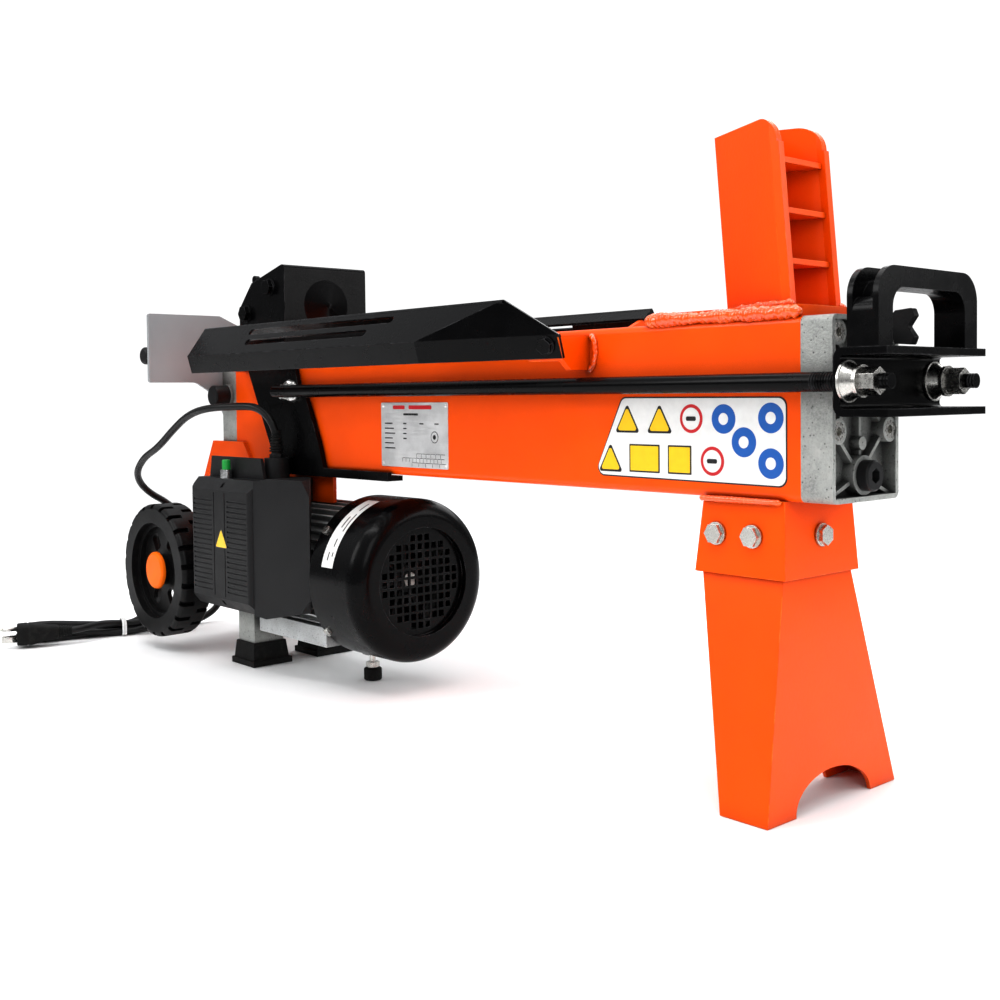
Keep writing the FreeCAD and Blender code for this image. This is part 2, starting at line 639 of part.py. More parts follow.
def far_copy(shape):
    """The same piece turned half round about the middle of the trays, for the far side."""
    turned = shape.copy()
    turned.rotate(V(TRAY_TURN_X, 0, 0), Z, 180)
    return turned


def tray_bolt_hole():
    return Part.makeCylinder(4.1, 30.0, TRAY_BOLT - TRAY_BOLT_AXIS * 8, TRAY_BOLT_AXIS)


def make_tray_lug(tray):
    """Lug welded to the beam: a web out to the tray and an ear that the tray bolt goes through."""
    web = prism_yz([(-BEAM_HALF_Y, 303), (-BEAM_HALF_Y, 330), (-74, 328), (-69, 311), (-60, 303)],
                   -224.5, -218.5)
    ear = polygon([V(x, y, 328.0) for x, y in ((-250, -80.5), (-221, -73), (-221, -67.8), (-250, -75.2))])
    lug = web.fuse(ear.extrude(TRAY_DROP)).cut(tray)
    lug = lug.cut(tray_bolt_hole())
    return keep_inside(lug, -60.0)


def make_tray_strap(tray):
    """End bracket that carries the plain end of the tray on the beam."""
    strap = prism_yz([(-BEAM_HALF_Y, 312), (-BEAM_HALF_Y, 331), (-84, 352), (-93.5, 346.5),
                      (-106, 329), (-103, 316)], -746.0, -741.0)
    return keep_inside(strap.cut(tray), -60.0)


def keep_inside(shape, y):
    """The solid of a cut shape that reaches the plane y."""
    for solid in shape.Solids:
        if solid.BoundBox.YMax > y + 10:
            return solid
    return shape.Solids[0]


# ---------------------------------------------------------------- axle and wheels

def make_axle_bracket():
    outline = [(-815, 236), (-748, 236), (-714, 190), (-714, 176), (-828, 72), (-864, 72),
               (-864, 110), (-840, 190)]
    sides = [prism_xz(outline, side * 40.0, side * 44.0) for side in (-1, 1)]
    back = prism_xz([(-864, 84), (-864, 110), (-842, 183), (-838, 183), (-860, 110), (-860, 84)], -40.5, 40.5)
    solid = fuse(sides + [back])
    return solid.cut(cyl_y(-60, 60, WHEEL_X, WHEEL_Z, AXLE_R))


def make_axle():
    axle = cyl_y(-WHEEL_Y1 + 6, WHEEL_Y1 - 6, WHEEL_X, WHEEL_Z, AXLE_R)
    for side in (-1, 1):
        axle = axle.fuse(cyl_y(min(side * 50, side * 56), max(side * 50, side * 56), WHEEL_X, WHEEL_Z, 11.0))
    return axle


def make_wheel():
    """Moulded wheel on the near side: lugged tread, recessed spoked web, long hub."""
    tyre = cyl_y(-WHEEL_Y1, -WHEEL_Y0, WHEEL_X, WHEEL_Z, WHEEL_R)
    tyre = tyre.makeFillet(5.0, [e for e in tyre.Edges if e.BoundBox.YLength < 0.01])
    tyre = tyre.cut(cyl_y(-WHEEL_Y1 - 1, -WHEEL_Y0 + 1, WHEEL_X, WHEEL_Z, 54.0))
    lugs = []
    count = 22
    for i in range(count):
        for side, shift in ((0, 0.0), (1, 0.5)):
            y0 = -WHEEL_Y1 - 1 + side * 22.0
            groove = Part.makeBox(6.0, 17.0, 9.0, V(-3.0, y0, WHEEL_R - 5.0))
            groove.Placement = Placement(V(WHEEL_X, 0, WHEEL_Z), Rotation(Y, (i + shift) * 360.0 / count))
            lugs.append(groove)
    tyre = tyre.cut(Part.makeCompound(lugs))
    rim = cyl_y(-98, -76, WHEEL_X, WHEEL_Z, 54.5).cut(cyl_y(-99, -75, WHEEL_X, WHEEL_Z, 49.0))
    web = cyl_y(-92, -87, WHEEL_X, WHEEL_Z, 50.0)
    windows = []
    for i in range(6):
        window = Part.makeBox(15.0, 20.0, 19.0, V(-7.5, -100.0, 25.0))
        window = window.makeFillet(4.0, edges_along(window, Y))
        window.Placement = Placement(V(WHEEL_X, 0, WHEEL_Z), Rotation(Y, i * 60.0 + 30.0))
        windows.append(window)
    web = web.cut(Part.makeCompound(windows))
    hub = cyl_y(-100, -60, WHEEL_X, WHEEL_Z, 17.0)
    solid = fuse([tyre, rim, web, hub])
    return solid.cut(cyl_y(-120, -50, WHEEL_X, WHEEL_Z, AXLE_R + 0.05))


def make_hub_cap():
    cap = cyl_y(-105, -100, WHEEL_X, WHEEL_Z, 21.0)
    outer = [e for e in cap.Edges if abs(e.BoundBox.YMin + 105) < 0.01 and e.BoundBox.YLength < 0.01]
    return cap.makeFillet(3.5, outer)


# ---------------------------------------------------------------- motor and pump

def gear(x0, x1, y, z, phase):
    """Spur gear with thin trapezoidal teeth, phase in degrees from +Z."""
    points = []
    for i in range(GEAR_TEETH):
        centre = phase + i * 360.0 / GEAR_TEETH
        for r, half in ((10.2, 9.0), (13.4, 3.0)):
            points.append((r, centre - half))
        for r, half in ((13.4, 3.0), (10.2, 9.0)):
            points.append((r, centre + half))
    corners = [(y + r * math.sin(math.radians(a)), z + r * math.cos(math.radians(a))) for r, a in points]
    return prism_yz(corners, x0, x1)


def make_pump_housing():
    z_top = MOTOR_Z + GEAR_GAP
    solid = fuse([cyl_x(-775, -712, MOTOR_Y, MOTOR_Z, 29.5), box(-775, -712, -34, 22, MOTOR_Z, 168),
                  box(BLOCK_X0, -755, -34, 34, 150, BEAM_Z0), cyl_x(-780, -775, MOTOR_Y, z_top, 20.0)])
    pocket = cyl_x(-768, -752, MOTOR_Y, MOTOR_Z, 14.0).fuse(cyl_x(-768, -752, MOTOR_Y, z_top, 14.0))
    solid = solid.cut(pocket)
    solid = solid.cut(cyl_x(-753, -700, MOTOR_Y, MOTOR_Z, 12.0))
    solid = solid.cut(cyl_x(-774, -745, MOTOR_Y, z_top, 5.05))
    solid = solid.cut(cyl_x(-774, -767, MOTOR_Y, MOTOR_Z, 5.05))
    return solid.cut(cyl_z(168, BEAM_Z0 + 1, SPOOL_X, 20.0, 4.0))


def make_rotor():
    shaft = cyl_x(-752.5, -492, MOTOR_Y, MOTOR_Z, SHAFT_R)
    journal = cyl_x(-773.5, -767.0, MOTOR_Y, MOTOR_Z, 5.0)
    core = cyl_x(-668, -568, MOTOR_Y, MOTOR_Z, 32.0)
    return fuse([shaft, journal, core, gear(-767.5, -752.5, MOTOR_Y, MOTOR_Z, 0.0)])


def make_driven_gear():
    z = MOTOR_Z + GEAR_GAP
    return fuse([gear(-767.5, -752.5, MOTOR_Y, z, 15.0), cyl_x(-773.5, -746, MOTOR_Y, z, 5.0)])


def make_front_shield():
    """Cast motor end with two feet."""
    solid = [cyl_x(-712, -688, MOTOR_Y, MOTOR_Z, 68.0)]
    for y0 in (-67.0, 12.0):
        solid.append(box(-722, -690, y0, y0 + 35, 17.0, 62.0))
    shield = fuse(solid)
    shield = shield.cut(cyl_x(-706, -687, MOTOR_Y, MOTOR_Z, 20.0))
    return shield.cut(cyl_x(-725, -700, MOTOR_Y, MOTOR_Z, 9.0))


def make_foot_block(y0):
    base = box(-728, -682, y0 - 6, y0 + 41, 0, 6)
    body = taper((-726, -685, 21.5, 5), (-724, -688, 19.5, 24))
    body.translate(V(0, y0 + 17.5, 0))
    pocket = box(-722, -690, y0, y0 + 35, 17.0, 30.0)
    return fuse([base, body]).cut(pocket)


FOOT_X = -553.0
FOOT_Y = -12.0


def make_foot_pad():
    pad = cyl_z(0, 12, FOOT_X, FOOT_Y, 9.0)
    pad = pad.makeFillet(1.5, [e for e in pad.Edges if e.BoundBox.ZLength < 0.01])
    return pad.cut(cyl_z(5, 13, FOOT_X, FOOT_Y, 3.05))


def make_foot_screw():
    """Levelling screw under the motor's rear end."""
    screw = cyl_z(5.3, 35, FOOT_X, FOOT_Y, 3.0)
    nut = hexagon(12.0, V(FOOT_X, FOOT_Y, 13.0), Z, 5.0)
    return screw.fuse(nut)


def make_stator_housing():
    """Finned extrusion with a base slab."""
    fins = []
    count = 44
    for i in range(count):
        fin = Part.makeBox(FAN_X0 + 688, 2.2, FIN_R - STATOR_R + 2, V(-688, -1.1, STATOR_R - 2))
        fin.Placement = Placement(V(0, MOTOR_Y, MOTOR_Z), Rotation(X, i * 360.0 / count))
        fins.append(fin)
    body = cyl_x(-688, FAN_X0, MOTOR_Y, MOTOR_Z, STATOR_R)
    slab = prism_yz([(-46, 62), (-65, 58), (-65, 39), (44, 39), (44, 47), (26, 60)], -682, -556)
    solid = fuse([body, slab] + fins)
    solid = solid.cut(cyl_x(-690, FAN_X0 + 1, MOTOR_Y, MOTOR_Z, 56.0))
    return solid


def make_stator_parts():
    core = cyl_x(-666, -570, MOTOR_Y, MOTOR_Z, 56.0).cut(cyl_x(-667, -569, MOTOR_Y, MOTOR_Z, 32.6))
    coils = [cyl_x(x, x + 18, MOTOR_Y, MOTOR_Z, 51.0).cut(cyl_x(x - 1, x + 19, MOTOR_Y, MOTOR_Z, 37.0))
             for x in (-684, -570)]
    return [core] + coils


def make_rear_shield():
    shield = fuse([cyl_x(FAN_X0, FAN_X0 + 14, MOTOR_Y, MOTOR_Z, 76.3),
                   box(FAN_X0 - 10, FAN_X0, FOOT_Y - 9, FOOT_Y + 9, 26, 37),
                   box(FAN_X0 - 1, FAN_X0 + 1, FOOT_Y - 9, FOOT_Y + 9, 32, 37)])
    shield = shield.cut(cyl_x(FAN_X0 - 1, FAN_X0 + 12, MOTOR_Y, MOTOR_Z, 20.0))
    shield = shield.cut(cyl_x(FAN_X0 - 1, FAN_X0 + 20, MOTOR_Y, MOTOR_Z, 9.0))
    return shield.cut(cyl_z(20, 36, FOOT_X, FOOT_Y, 3.05))


def make_bearing(x0):
    return cyl_x(x0, x0 + 11, MOTOR_Y, MOTOR_Z, 20.0).cut(cyl_x(x0 - 1, x0 + 12, MOTOR_Y, MOTOR_Z, SHAFT_R + 0.05))


def make_fan():
    hub = cyl_x(-530, -498, MOTOR_Y, MOTOR_Z, 13.0)
    disc = cyl_x(-530, -527, MOTOR_Y, MOTOR_Z, 58.0)
    blades = []
    for i in range(7):
        blade = Part.makeBox(28.0, 2.5, 48.0, V(-528, -1.25, 11))
        blade.Placement = Placement(V(0, MOTOR_Y, MOTOR_Z), Rotation(X, i * 360.0 / 7))
        blades.append(blade)
    return fuse([hub, disc] + blades).cut(cyl_x(-540, -490, MOTOR_Y, MOTOR_Z, SHAFT_R))


MESH_PITCH = 8.4
MESH_HOLE = 6.0
MESH_R = 46.0


def make_fan_cover():
    """Pressed cover with a rolled rim and a dished grille of square holes."""
    outer = cyl_x(FAN_X0, FAN_X1, MOTOR_Y, MOTOR_Z, FAN_R)
    outer = outer.makeFillet(17.0, [e for e in outer.Edges if abs(e.BoundBox.XMin - FAN_X1) < 0.01])
    inner = cyl_x(FAN_X0 - 1, FAN_X1 - 2.5, MOTOR_Y, MOTOR_Z, FAN_R - 2.7)
    inner = inner.makeFillet(15.0, [e for e in inner.Edges if abs(e.BoundBox.XMin - FAN_X1 + 2.5) < 0.01])
    shell = outer.cut(inner).cut(cyl_x(FAN_X1 - 20, FAN_X1 + 1, MOTOR_Y, MOTOR_Z, 52.0))
    dish = cyl_x(FAN_X1 - 8, FAN_X1, MOTOR_Y, MOTOR_Z, 54.5).cut(cyl_x(FAN_X1 - 9, FAN_X1 + 1, MOTOR_Y, MOTOR_Z, 52.0))
    face = cyl_x(FAN_X1 - 8, FAN_X1 - 6, MOTOR_Y, MOTOR_Z, 54.0)
    holes = []
    reach = int(MESH_R / MESH_PITCH)
    for i in range(-reach, reach + 1):
        for j in range(-reach, reach + 1):
            y, z = i * MESH_PITCH, j * MESH_PITCH
            if math.hypot(y, z) < MESH_R - 2:
                holes.append(box(FAN_X1 - 9, FAN_X1 - 5, MOTOR_Y + y - MESH_HOLE / 2, MOTOR_Y + y + MESH_HOLE / 2,
                                 MOTOR_Z + z - MESH_HOLE / 2, MOTOR_Z + z + MESH_HOLE / 2))
    face = face.cut(Part.makeCompound(holes))
    return fuse([shell, dish, face])


def make_cover_screw(angle):
    """Pan-head screw that holds the fan cover to the rear shield."""
    direction = V(0, math.sin(math.radians(angle)), math.cos(math.radians(angle)))
    centre = V(FAN_X0 + 7, MOTOR_Y, MOTOR_Z)
    head = Part.makeCylinder(4.5, 3.0, centre + direction * (FAN_R - 0.4), direction)
    return head.fuse(Part.makeCylinder(2.0, 9.0, centre + direction * (FAN_R - 9), direction))


COVER_SCREWS = (-52.0, 52.0, 128.0, -128.0)


def cut_cover_screws(solid):
    for angle in COVER_SCREWS:
        solid = solid.cut(make_cover_screw(angle))
    return solid


def make_motor_bracket():
    """Angle that hangs the motor from the underside of the beam."""
    solid = fuse([box(-690, -600, -25, 15, 206.6, BEAM_Z0), box(-690, -600, -25, -21, 160, 207)])
    return solid.cut(cyl_x(-700, -590, MOTOR_Y, MOTOR_Z, FIN_R + 0.1))


# ---------------------------------------------------------------- switch box

def box_outline(inset):
    """Solid outline of the switch box, hollowed where it sits against the motor."""
    solid = box(BOX_X0 + inset, BOX_X1 - inset, BOX_Y0 + inset, -28.0 - inset, BOX_Z0 + inset, BOX_Z1 - inset)
    if not inset:
        solid = solid.makeFillet(6.0, [e for e in edges_along(solid, Z) if e.Vertexes[0].Point.y < -90])
    solid = solid.cut(cyl_x(BOX_X0 - 5, BOX_X1 + 5, MOTOR_Y, MOTOR_Z, FIN_R + 2.5 + inset))
    return solid.cut(box(BOX_X0 - 5, -708 + inset, -50 - inset, -20, 100, BOX_Z1 + 9))


COVER_SPLIT_Y = -91.0


def wing_plan(inset, y_inner):
    """Outline of the motor wing seen from above, with a slanting far end."""
    near, far = -99.0 + inset, -85.5 + inset
    end = WING_X1 - 3.2 * inset
    return [(BOX_X1, near), (end, far), (end - 1.45 * (y_inner - far), y_inner), (BOX_X1 - 3, y_inner),
            (BOX_X1 - 3, COVER_SPLIT_Y + 0.5), (BOX_X1, COVER_SPLIT_Y + 0.5)]


def wing_side(inset):
    """Outline of the motor wing seen from the side."""
    bottom, top = WING_Z0 + inset, WING_Z1 - inset
    return [(BOX_X1 - 9, bottom + 3), (BOX_X1 + 18, bottom), (-566, bottom + 10), (WING_X1, bottom + 25),
            (WING_X1, top - 16), (-562, top), (BOX_X1 + 22, top), (BOX_X1 - 9, top - 5.5)]


def make_motor_wing():
    """Hollow wing that carries the box on past the motor fins, open towards them."""
    outer = prism_xy(wing_plan(0.0, -52.0), 50, 210).common(prism_xz(wing_side(0.0), -120, 0))
    inner = prism_xy(wing_plan(3.0, -40.0), 50, 210).common(prism_xz(wing_side(3.0), -120, 0))
    return outer.cut(inner).cut(cyl_x(BOX_X1 - 5, WING_X1 + 5, MOTOR_Y, MOTOR_Z, FIN_R + 2.5))


def make_switch_box():
    shell = box_outline(0.0).cut(box_outline(3.0))
    shell = shell.cut(box(BOX_X0 - 5, BOX_X1 + 5, BOX_Y0 - 5, COVER_SPLIT_Y, BOX_Z0 - 5, BOX_Z1 + 5))
    shell = max(shell.Solids, key=lambda s: s.Volume)
    shroud = prism_xz([(-757, BOX_Z1 - 3), (-643, BOX_Z1 - 3), (-650, BOX_Z1 + 22), (-752, BOX_Z1 + 22)],
                      -80, -76.5)
    entry = cyl_z(BOX_Z1 - 3, BOX_Z1 + 22, *GLAND, 13.0)
    shell = fuse([shell, make_motor_wing(), shroud, entry])
    return shell.cut(cyl_z(BOX_Z1 - 5, BOX_Z1 + 5, *BUTTON, 4.6))


def make_switch_cover():
    """Front cover with sloping top and bottom edges and two columns of fine ribs."""
    cover = box_outline(0.0).common(box(BOX_X0 - 5, BOX_X1 + 5, BOX_Y0 - 5, COVER_SPLIT_Y, BOX_Z0 - 5, BOX_Z1 + 5))
    for z, step in ((BOX_Z1, 1), (BOX_Z0, -1)):
        corner = polygon([V(BOX_X0 - 5, BOX_Y0 - 1, z - step * 13), V(BOX_X0 - 5, BOX_Y0 - 1, z + step),
                          V(BOX_X0 - 5, COVER_SPLIT_Y - 1, z + step)])
        cover = cover.cut(corner.extrude(V(140, 0, 0)))
    cover = cover.cut(box(BOX_X0 + 4, BOX_X1 - 4, BOX_Y0 + 4, COVER_SPLIT_Y + 1, BOX_Z0 + 15, BOX_Z1 - 15))
    grooves = []
    for x0, x1 in ((BOX_X0 + 7, BOX_X0 + 46), (BOX_X1 - 46, BOX_X1 - 7)):
        for i in range(19):
            z = BOX_Z0 + 19 + i * 5.2
            grooves.append(box(x0, x1, BOX_Y0 - 1, BOX_Y0 + 0.9, z, z + 1.6))
    middle = (BOX_X0 + BOX_X1) / 2
    for x in (BOX_X0 + 50, BOX_X1 - 51.5):
        grooves.append(box(x, x + 1.5, BOX_Y0 - 1, BOX_Y0 + 0.9, BOX_Z0 + 14, BOX_Z1 - 14))
    for z in (BOX_Z0 - 1, BOX_Z1 - 9):
        grooves.append(box(middle - 2.5, middle + 2.5, BOX_Y0 - 1, BOX_Y0 + 7, z, z + 10))
    return cover.cut(Part.makeCompound(grooves))


def make_button():
    button = cyl_z(209.0, 219.5, *BUTTON, 4.4)
    top = [e for e in button.Edges if e.BoundBox.ZLength < 0.01 and abs(e.BoundBox.ZMin - 219.5) < 0.01]
    button = button.makeFillet(1.5, top)
    return button.fuse(cyl_z(190.0, 209.5, *BUTTON, 3.0))


def make_button_collar():
    collar = cyl_z(BOX_Z1, 209.0, *BUTTON, 6.5)
    return collar.cut(cyl_z(BOX_Z1 - 1, 210.0, *BUTTON, 4.7))


def make_gland_nut():
    body = hexagon(13.0, V(GLAND[0], GLAND[1], BOX_Z1 + 22), Z, 4.0)
    return body.fuse(Part.makeCone(6.0, 5.0, 3.0, V(GLAND[0], GLAND[1], BOX_Z1 + 26), Z))


# ---------------------------------------------------------------- mains lead

# Route of the lead: out of the gland, a loop over the wheel, down behind it, along the floor.
LEAD = [(-651, -60, 229), (-651, -60, 244), (-656, -62.5, 258.4), (-666, -67, 269), (-678, -73, 275),
        (-704, -85, 276.5), (-745, -90, 275), (-790, -88, 266), (-828, -87, 249), (-867, -86.3, 228),
        (-908.5, -85.4, 214.6), (-944, -78.4, 189), (-954, -60.4, 171.6), (-945.5, -32, 154),
        (-944, 6, 114), (-948, 34, 76), (-952, 43, 44), (-954, 34, 18), (-956, 10, 5), (-956, -17, 5)]
PLUG_BACK = V(-952.0, -172.0, 15.0)
PLUG_TURN = 249.5            # heading of the plug, degrees from +X
HANK = [(-985, -50), (-974, -26), (-966, -17), (-940, -17), (-929, -27), (-919, -50), (-927, -72),
        (-942, -94), (-936, -120), (-935, -150), (-939.54, -161.5), (-961.08, -153.45), (-971.6, -182),
        (-980, -197), (-992, -204.5), (-1012, -204.5), (-1029, -193), (-1036, -172), (-1031, -152),
        (-971, -86), (-978, -72)]
HANK_H = 30.0


def make_lead():
    """Tube along the route: straight runs joined by tangent arcs."""
    points = [V(*p) for p in LEAD]
    edges = []
    radii = []
    last = points[0]
    for before, at, after in zip(points, points[1:], points[2:]):
        a, b = (before - at), (after - at)
        shorter = min(a.Length, b.Length)
        turn = math.pi - a.getAngle(b)
        a.normalize()
        b.normalize()
        tangent = 0.45 * shorter
        radius = tangent / math.tan(turn / 2)
        radii.append(radius)
        start, end = at + a * tangent, at + b * tangent
        to_centre = (a + b)
        to_centre.normalize()
        middle = at + to_centre * (radius / math.cos(turn / 2) - radius)
        edges.append(Part.LineSegment(last, start).toShape())
        edges.append(Part.Arc(start, middle, end).toShape())
        last = end
    edges.append(Part.LineSegment(last, points[-1]).toShape())
    path = Part.Wire(edges)
    first = points[1] - points[0]
    profile = Part.Wire(Part.Circle(points[0], first, CORD_R).toShape())
    tube = path.makePipeShell([profile], True, False)
    print("lead length %.1f, volume ratio %.4f, smallest radius %.1f"
          % (path.Length, tube.Volume / (math.pi * CORD_R ** 2 * path.Length), min(radii)))
    return tube


def make_hank():
    """Outer shape of the tied hank of spare lead, lying behind the wheel."""
    solid = prism_xy(HANK, 0, HANK_H)
    top = [e for e in solid.Edges if abs(e.BoundBox.ZMin - HANK_H) < 0.01]
    return solid.makeChamfer(6.0, top)


def rect_x(x, half_y, half_z):
    return Part.makePolygon([V(x, -half_y, -half_z), V(x, half_y, -half_z), V(x, half_y, half_z),
                             V(x, -half_y, half_z), V(x, -half_y, -half_z)])


def make_plug():
    """Moulded three-pin plug at the end of the hank, built along +X and then turned."""
    grip = Part.makeLoft([rect_x(0, 8.5, 7.5), rect_x(30, 13.5, 12.5)], True, True)
    face = Part.makeLoft([rect_x(30, 13.5, 12.5), rect_x(46, 13.0, 12.0)], True, True)
    neck = Part.makeCone(5.0, 6.5, 14.2, V(-14.2, 0, 0), X)
    pins = [Part.makeBox(17, 1.6, 6.4, V(45, y - 0.8, -8.0)) for y in (-6.3, 6.3)]
    pins.append(Part.makeCylinder(2.4, 20, V(45, 0, 6.5), X))
    plug = fuse([grip, face, neck] + pins)
    plug.Placement = Placement(PLUG_BACK, Rotation(Z, PLUG_TURN))
    return plug


# ---------------------------------------------------------------- assembly

def build():
    add("beam_tube", make_beam())
    add("tie_bolts", *[make_tie_bolt(y, z) for y, z in tie_bolt_places()])
    add("cylinder_tube", cyl_x(BEAM_X0, BEAM_X1, 0, CYL_Z, CYL_R).cut(
        cyl_x(BEAM_X0 - 1, BEAM_X1 + 1, 0, CYL_Z, CYL_BORE_R)))
    add("end_cover", make_end_cover())
    add("rod_bush", cyl_x(BEAM_X1, -0.5, 0, CYL_Z, 16.0).cut(
        cyl_x(BEAM_X1 - 1, 1, 0, CYL_Z, ROD_R + 0.05)))
    add("oil_plug", make_oil_plug())
    add("bleed_screw", make_bleed_screw())
    add("valve_block", make_valve_block())
    add("valve_cap", make_valve_cap())
    add("valve_spool", make_spool())
    add("guard_plate", make_guard_plate())
    add("valve_lever", make_valve_lever())
    add("lever_knob", make_lever_knob())

    add("piston", make_piston())
    add("piston_rod", make_piston_rod())
    add("return_spring", make_return_spring())
    add("yoke", make_yoke())
    add("pull_handle", make_handle())
    add("pull_rods", *both_sides(make_pull_rod))
    add("rod_nuts", *(make_rod_nut_set(-1) + make_rod_nut_set(1)))
    add("pusher_head", make_pusher_head())
    add("carriage_plates", *both_sides(make_carriage_plate))
    add("head_bolts", *[make_head_bolt(side, x, z) for side in (-1, 1) for x, z in head_bolt_places()])
    add("slide_pad", make_slide_pad())

    add("wedge_base", make_wedge_base())
    add("wedge_blade", make_wedge_blade())
    add("wedge_ribs", *[make_wedge_rib(z) for z in (372.0, 407.0, 442.0)])
    add("leg_socket", make_leg_socket())
    add("front_leg", make_front_leg())

    tray = make_tray()
    add("log_trays", tray, far_copy(tray))
    lug, strap = make_tray_lug(tray), make_tray_strap(tray)
    add("tray_brackets", lug, strap, far_copy(lug), far_copy(strap))

    add("axle_bracket", make_axle_bracket())
    add("axle", make_axle())
    wheel, cap = make_wheel(), make_hub_cap()
    add("wheel_near", wheel)
    add("wheel_far", mirror_y(wheel))
    add("hub_cap_near", cap)
    add("hub_cap_far", mirror_y(cap))

    add("pump_housing", make_pump_housing())
    add("driven_gear", make_driven_gear())
    add("rotor", make_rotor())
    add("cooling_fan", make_fan())
    add("motor_bearings", make_bearing(-706), make_bearing(FAN_X0))
    add("front_shield", make_front_shield())
    add("rubber_feet", make_foot_block(-67.0), make_foot_block(12.0), make_foot_pad())
    add("stator_housing", make_stator_housing())
    add("stator_core", *make_stator_parts())
    add("rear_shield", cut_cover_screws(make_rear_shield()))
    add("fan_cover", cut_cover_screws(make_fan_cover()))
    add("foot_screw", make_foot_screw())
    add("motor_bracket", make_motor_bracket())

    fasteners = []
    for start, axis in leg_bolt_places():
        fasteners += make_leg_bolt_set(start, axis)
    fasteners += [bolt(V(BLOCK_X0 - 4, y, z), X, 7.0, 5.0, 4.0, 15.0) for y, z in guard_bolt_places()]
    tray_bolt = bolt(TRAY_BOLT, TRAY_BOLT_AXIS, 6.5, 4.5, 4.0, 14.0)
    add("tray_bolts", tray_bolt, far_copy(tray_bolt))
    fasteners += [make_cover_screw(angle) for angle in COVER_SCREWS]
    add("zinc_fasteners", *fasteners)

    add("switch_box", make_switch_box())
    add("switch_cover", make_switch_cover())
    add("capacitor", cyl_x(-742, -664, -70.0, 178.0, 15.0))
    add("start_button", make_button())
    add("button_collar", make_button_collar())
    add("gland_nut", make_gland_nut())
    add("mains_lead", make_lead())
    add("lead_hank", make_hank())
    add("mains_plug", make_plug())


def export():
    os.makedirs("parts", exist_ok=True)
    total = FreeCAD.BoundBox()
    for name, shapes in nodes.items():
        shape = shapes[0] if len(shapes) == 1 else Part.makeCompound(shapes)
        shape = shape.copy()
        shape.translate(V(COVER_X, BEAM_Y, 0))
        if name not in ("mains_lead", "lead_hank", "mains_plug"):
            total.add(shape.BoundBox)
        solids = shape.Solids
        wrong = [s for s in solids if not s.isValid() or s.Volume <= 0]
        print("%-16s solids %d  volume %.1f cm3%s" % (name, len(solids), shape.Volume / 1000.0,
                                                      "  WRONG" if wrong or len(solids) != len(shapes) else ""))
        shape.exportStep("parts/%s.step" % name)
    print("%d nodes, box X %.1f %.1f  Y %.1f %.1f  Z %.1f %.1f" % (
        len(nodes), total.XMin, total.XMax, total.YMin, total.YMax, total.ZMin, total.ZMax))


build()
export()
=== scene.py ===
import json
import math

import bmesh
import bpy
from mathutils import Matrix, Vector, noise


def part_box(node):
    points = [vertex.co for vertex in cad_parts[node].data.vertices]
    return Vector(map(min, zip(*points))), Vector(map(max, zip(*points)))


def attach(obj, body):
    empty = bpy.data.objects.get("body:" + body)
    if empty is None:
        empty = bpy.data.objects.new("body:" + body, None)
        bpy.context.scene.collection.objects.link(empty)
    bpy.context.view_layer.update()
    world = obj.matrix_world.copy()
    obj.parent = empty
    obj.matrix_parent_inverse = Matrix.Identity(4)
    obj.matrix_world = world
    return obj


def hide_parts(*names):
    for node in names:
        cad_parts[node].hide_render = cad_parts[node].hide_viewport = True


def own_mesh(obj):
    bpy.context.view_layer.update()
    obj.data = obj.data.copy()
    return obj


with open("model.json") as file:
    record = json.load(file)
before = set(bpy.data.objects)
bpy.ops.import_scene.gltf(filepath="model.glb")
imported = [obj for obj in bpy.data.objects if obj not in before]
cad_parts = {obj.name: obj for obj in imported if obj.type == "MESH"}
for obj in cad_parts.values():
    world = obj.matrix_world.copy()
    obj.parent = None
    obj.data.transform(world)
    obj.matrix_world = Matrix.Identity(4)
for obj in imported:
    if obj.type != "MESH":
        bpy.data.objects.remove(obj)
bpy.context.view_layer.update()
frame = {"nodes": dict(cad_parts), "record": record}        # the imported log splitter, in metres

# The machine is measured in millimetres from the outer face of its end cover, in the middle of the
# beam and on the floor: X runs from the pusher to the wedge, and Y away from the switch box.
MM = 0.001
BEAM_LOW, BEAM_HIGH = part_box("beam_tube")
ORIGIN = Vector((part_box("end_cover")[1].x, (BEAM_LOW.y + BEAM_HIGH.y) / 2, 0.0))
BEAM_SIDE = BEAM_LOW.y / MM - ORIGIN.y / MM         # Y of the beam's face on the switch box side


def place(x, y, z):
    """Point of the machine in millimetres, as a point of the frame in metres."""
    return ORIGIN + Vector((x, y, z)) * MM


# ---------------------------------------------------------------- camera

CAMERA_AT = (451.05, -727.49, 284.01)
CAMERA_YAW, CAMERA_PITCH, CAMERA_ROLL = 48.458, 1.773, -0.588      # degrees
CAMERA_LENS = 44.13
CAMERA_SHIFT_Y = -0.0665


def make_camera():
    data = bpy.data.cameras.new("camera")
    data.lens = CAMERA_LENS
    data.sensor_width = 36.0
    data.shift_y = CAMERA_SHIFT_Y
    data.clip_start = 0.01
    camera = bpy.data.objects.new("camera", data)
    bpy.context.scene.collection.objects.link(camera)
    turn = Matrix.Rotation(math.radians(CAMERA_YAW), 4, "Z")
    tilt = Matrix.Rotation(math.radians(90 - CAMERA_PITCH), 4, "X")
    roll = Matrix.Rotation(math.radians(CAMERA_ROLL), 4, "Z")
    camera.matrix_world = Matrix.Translation(place(*CAMERA_AT)) @ turn @ tilt @ roll
    bpy.context.scene.camera = camera


make_camera()


# ---------------------------------------------------------------- materials

def rgb(red, green, blue):
    """Linear colour of the 0-255 screen colour."""
    return tuple(((c / 255 + 0.055) / 1.055) ** 2.4 if c > 10 else c / 255 / 12.92
                 for c in (red, green, blue)) + (1.0,)


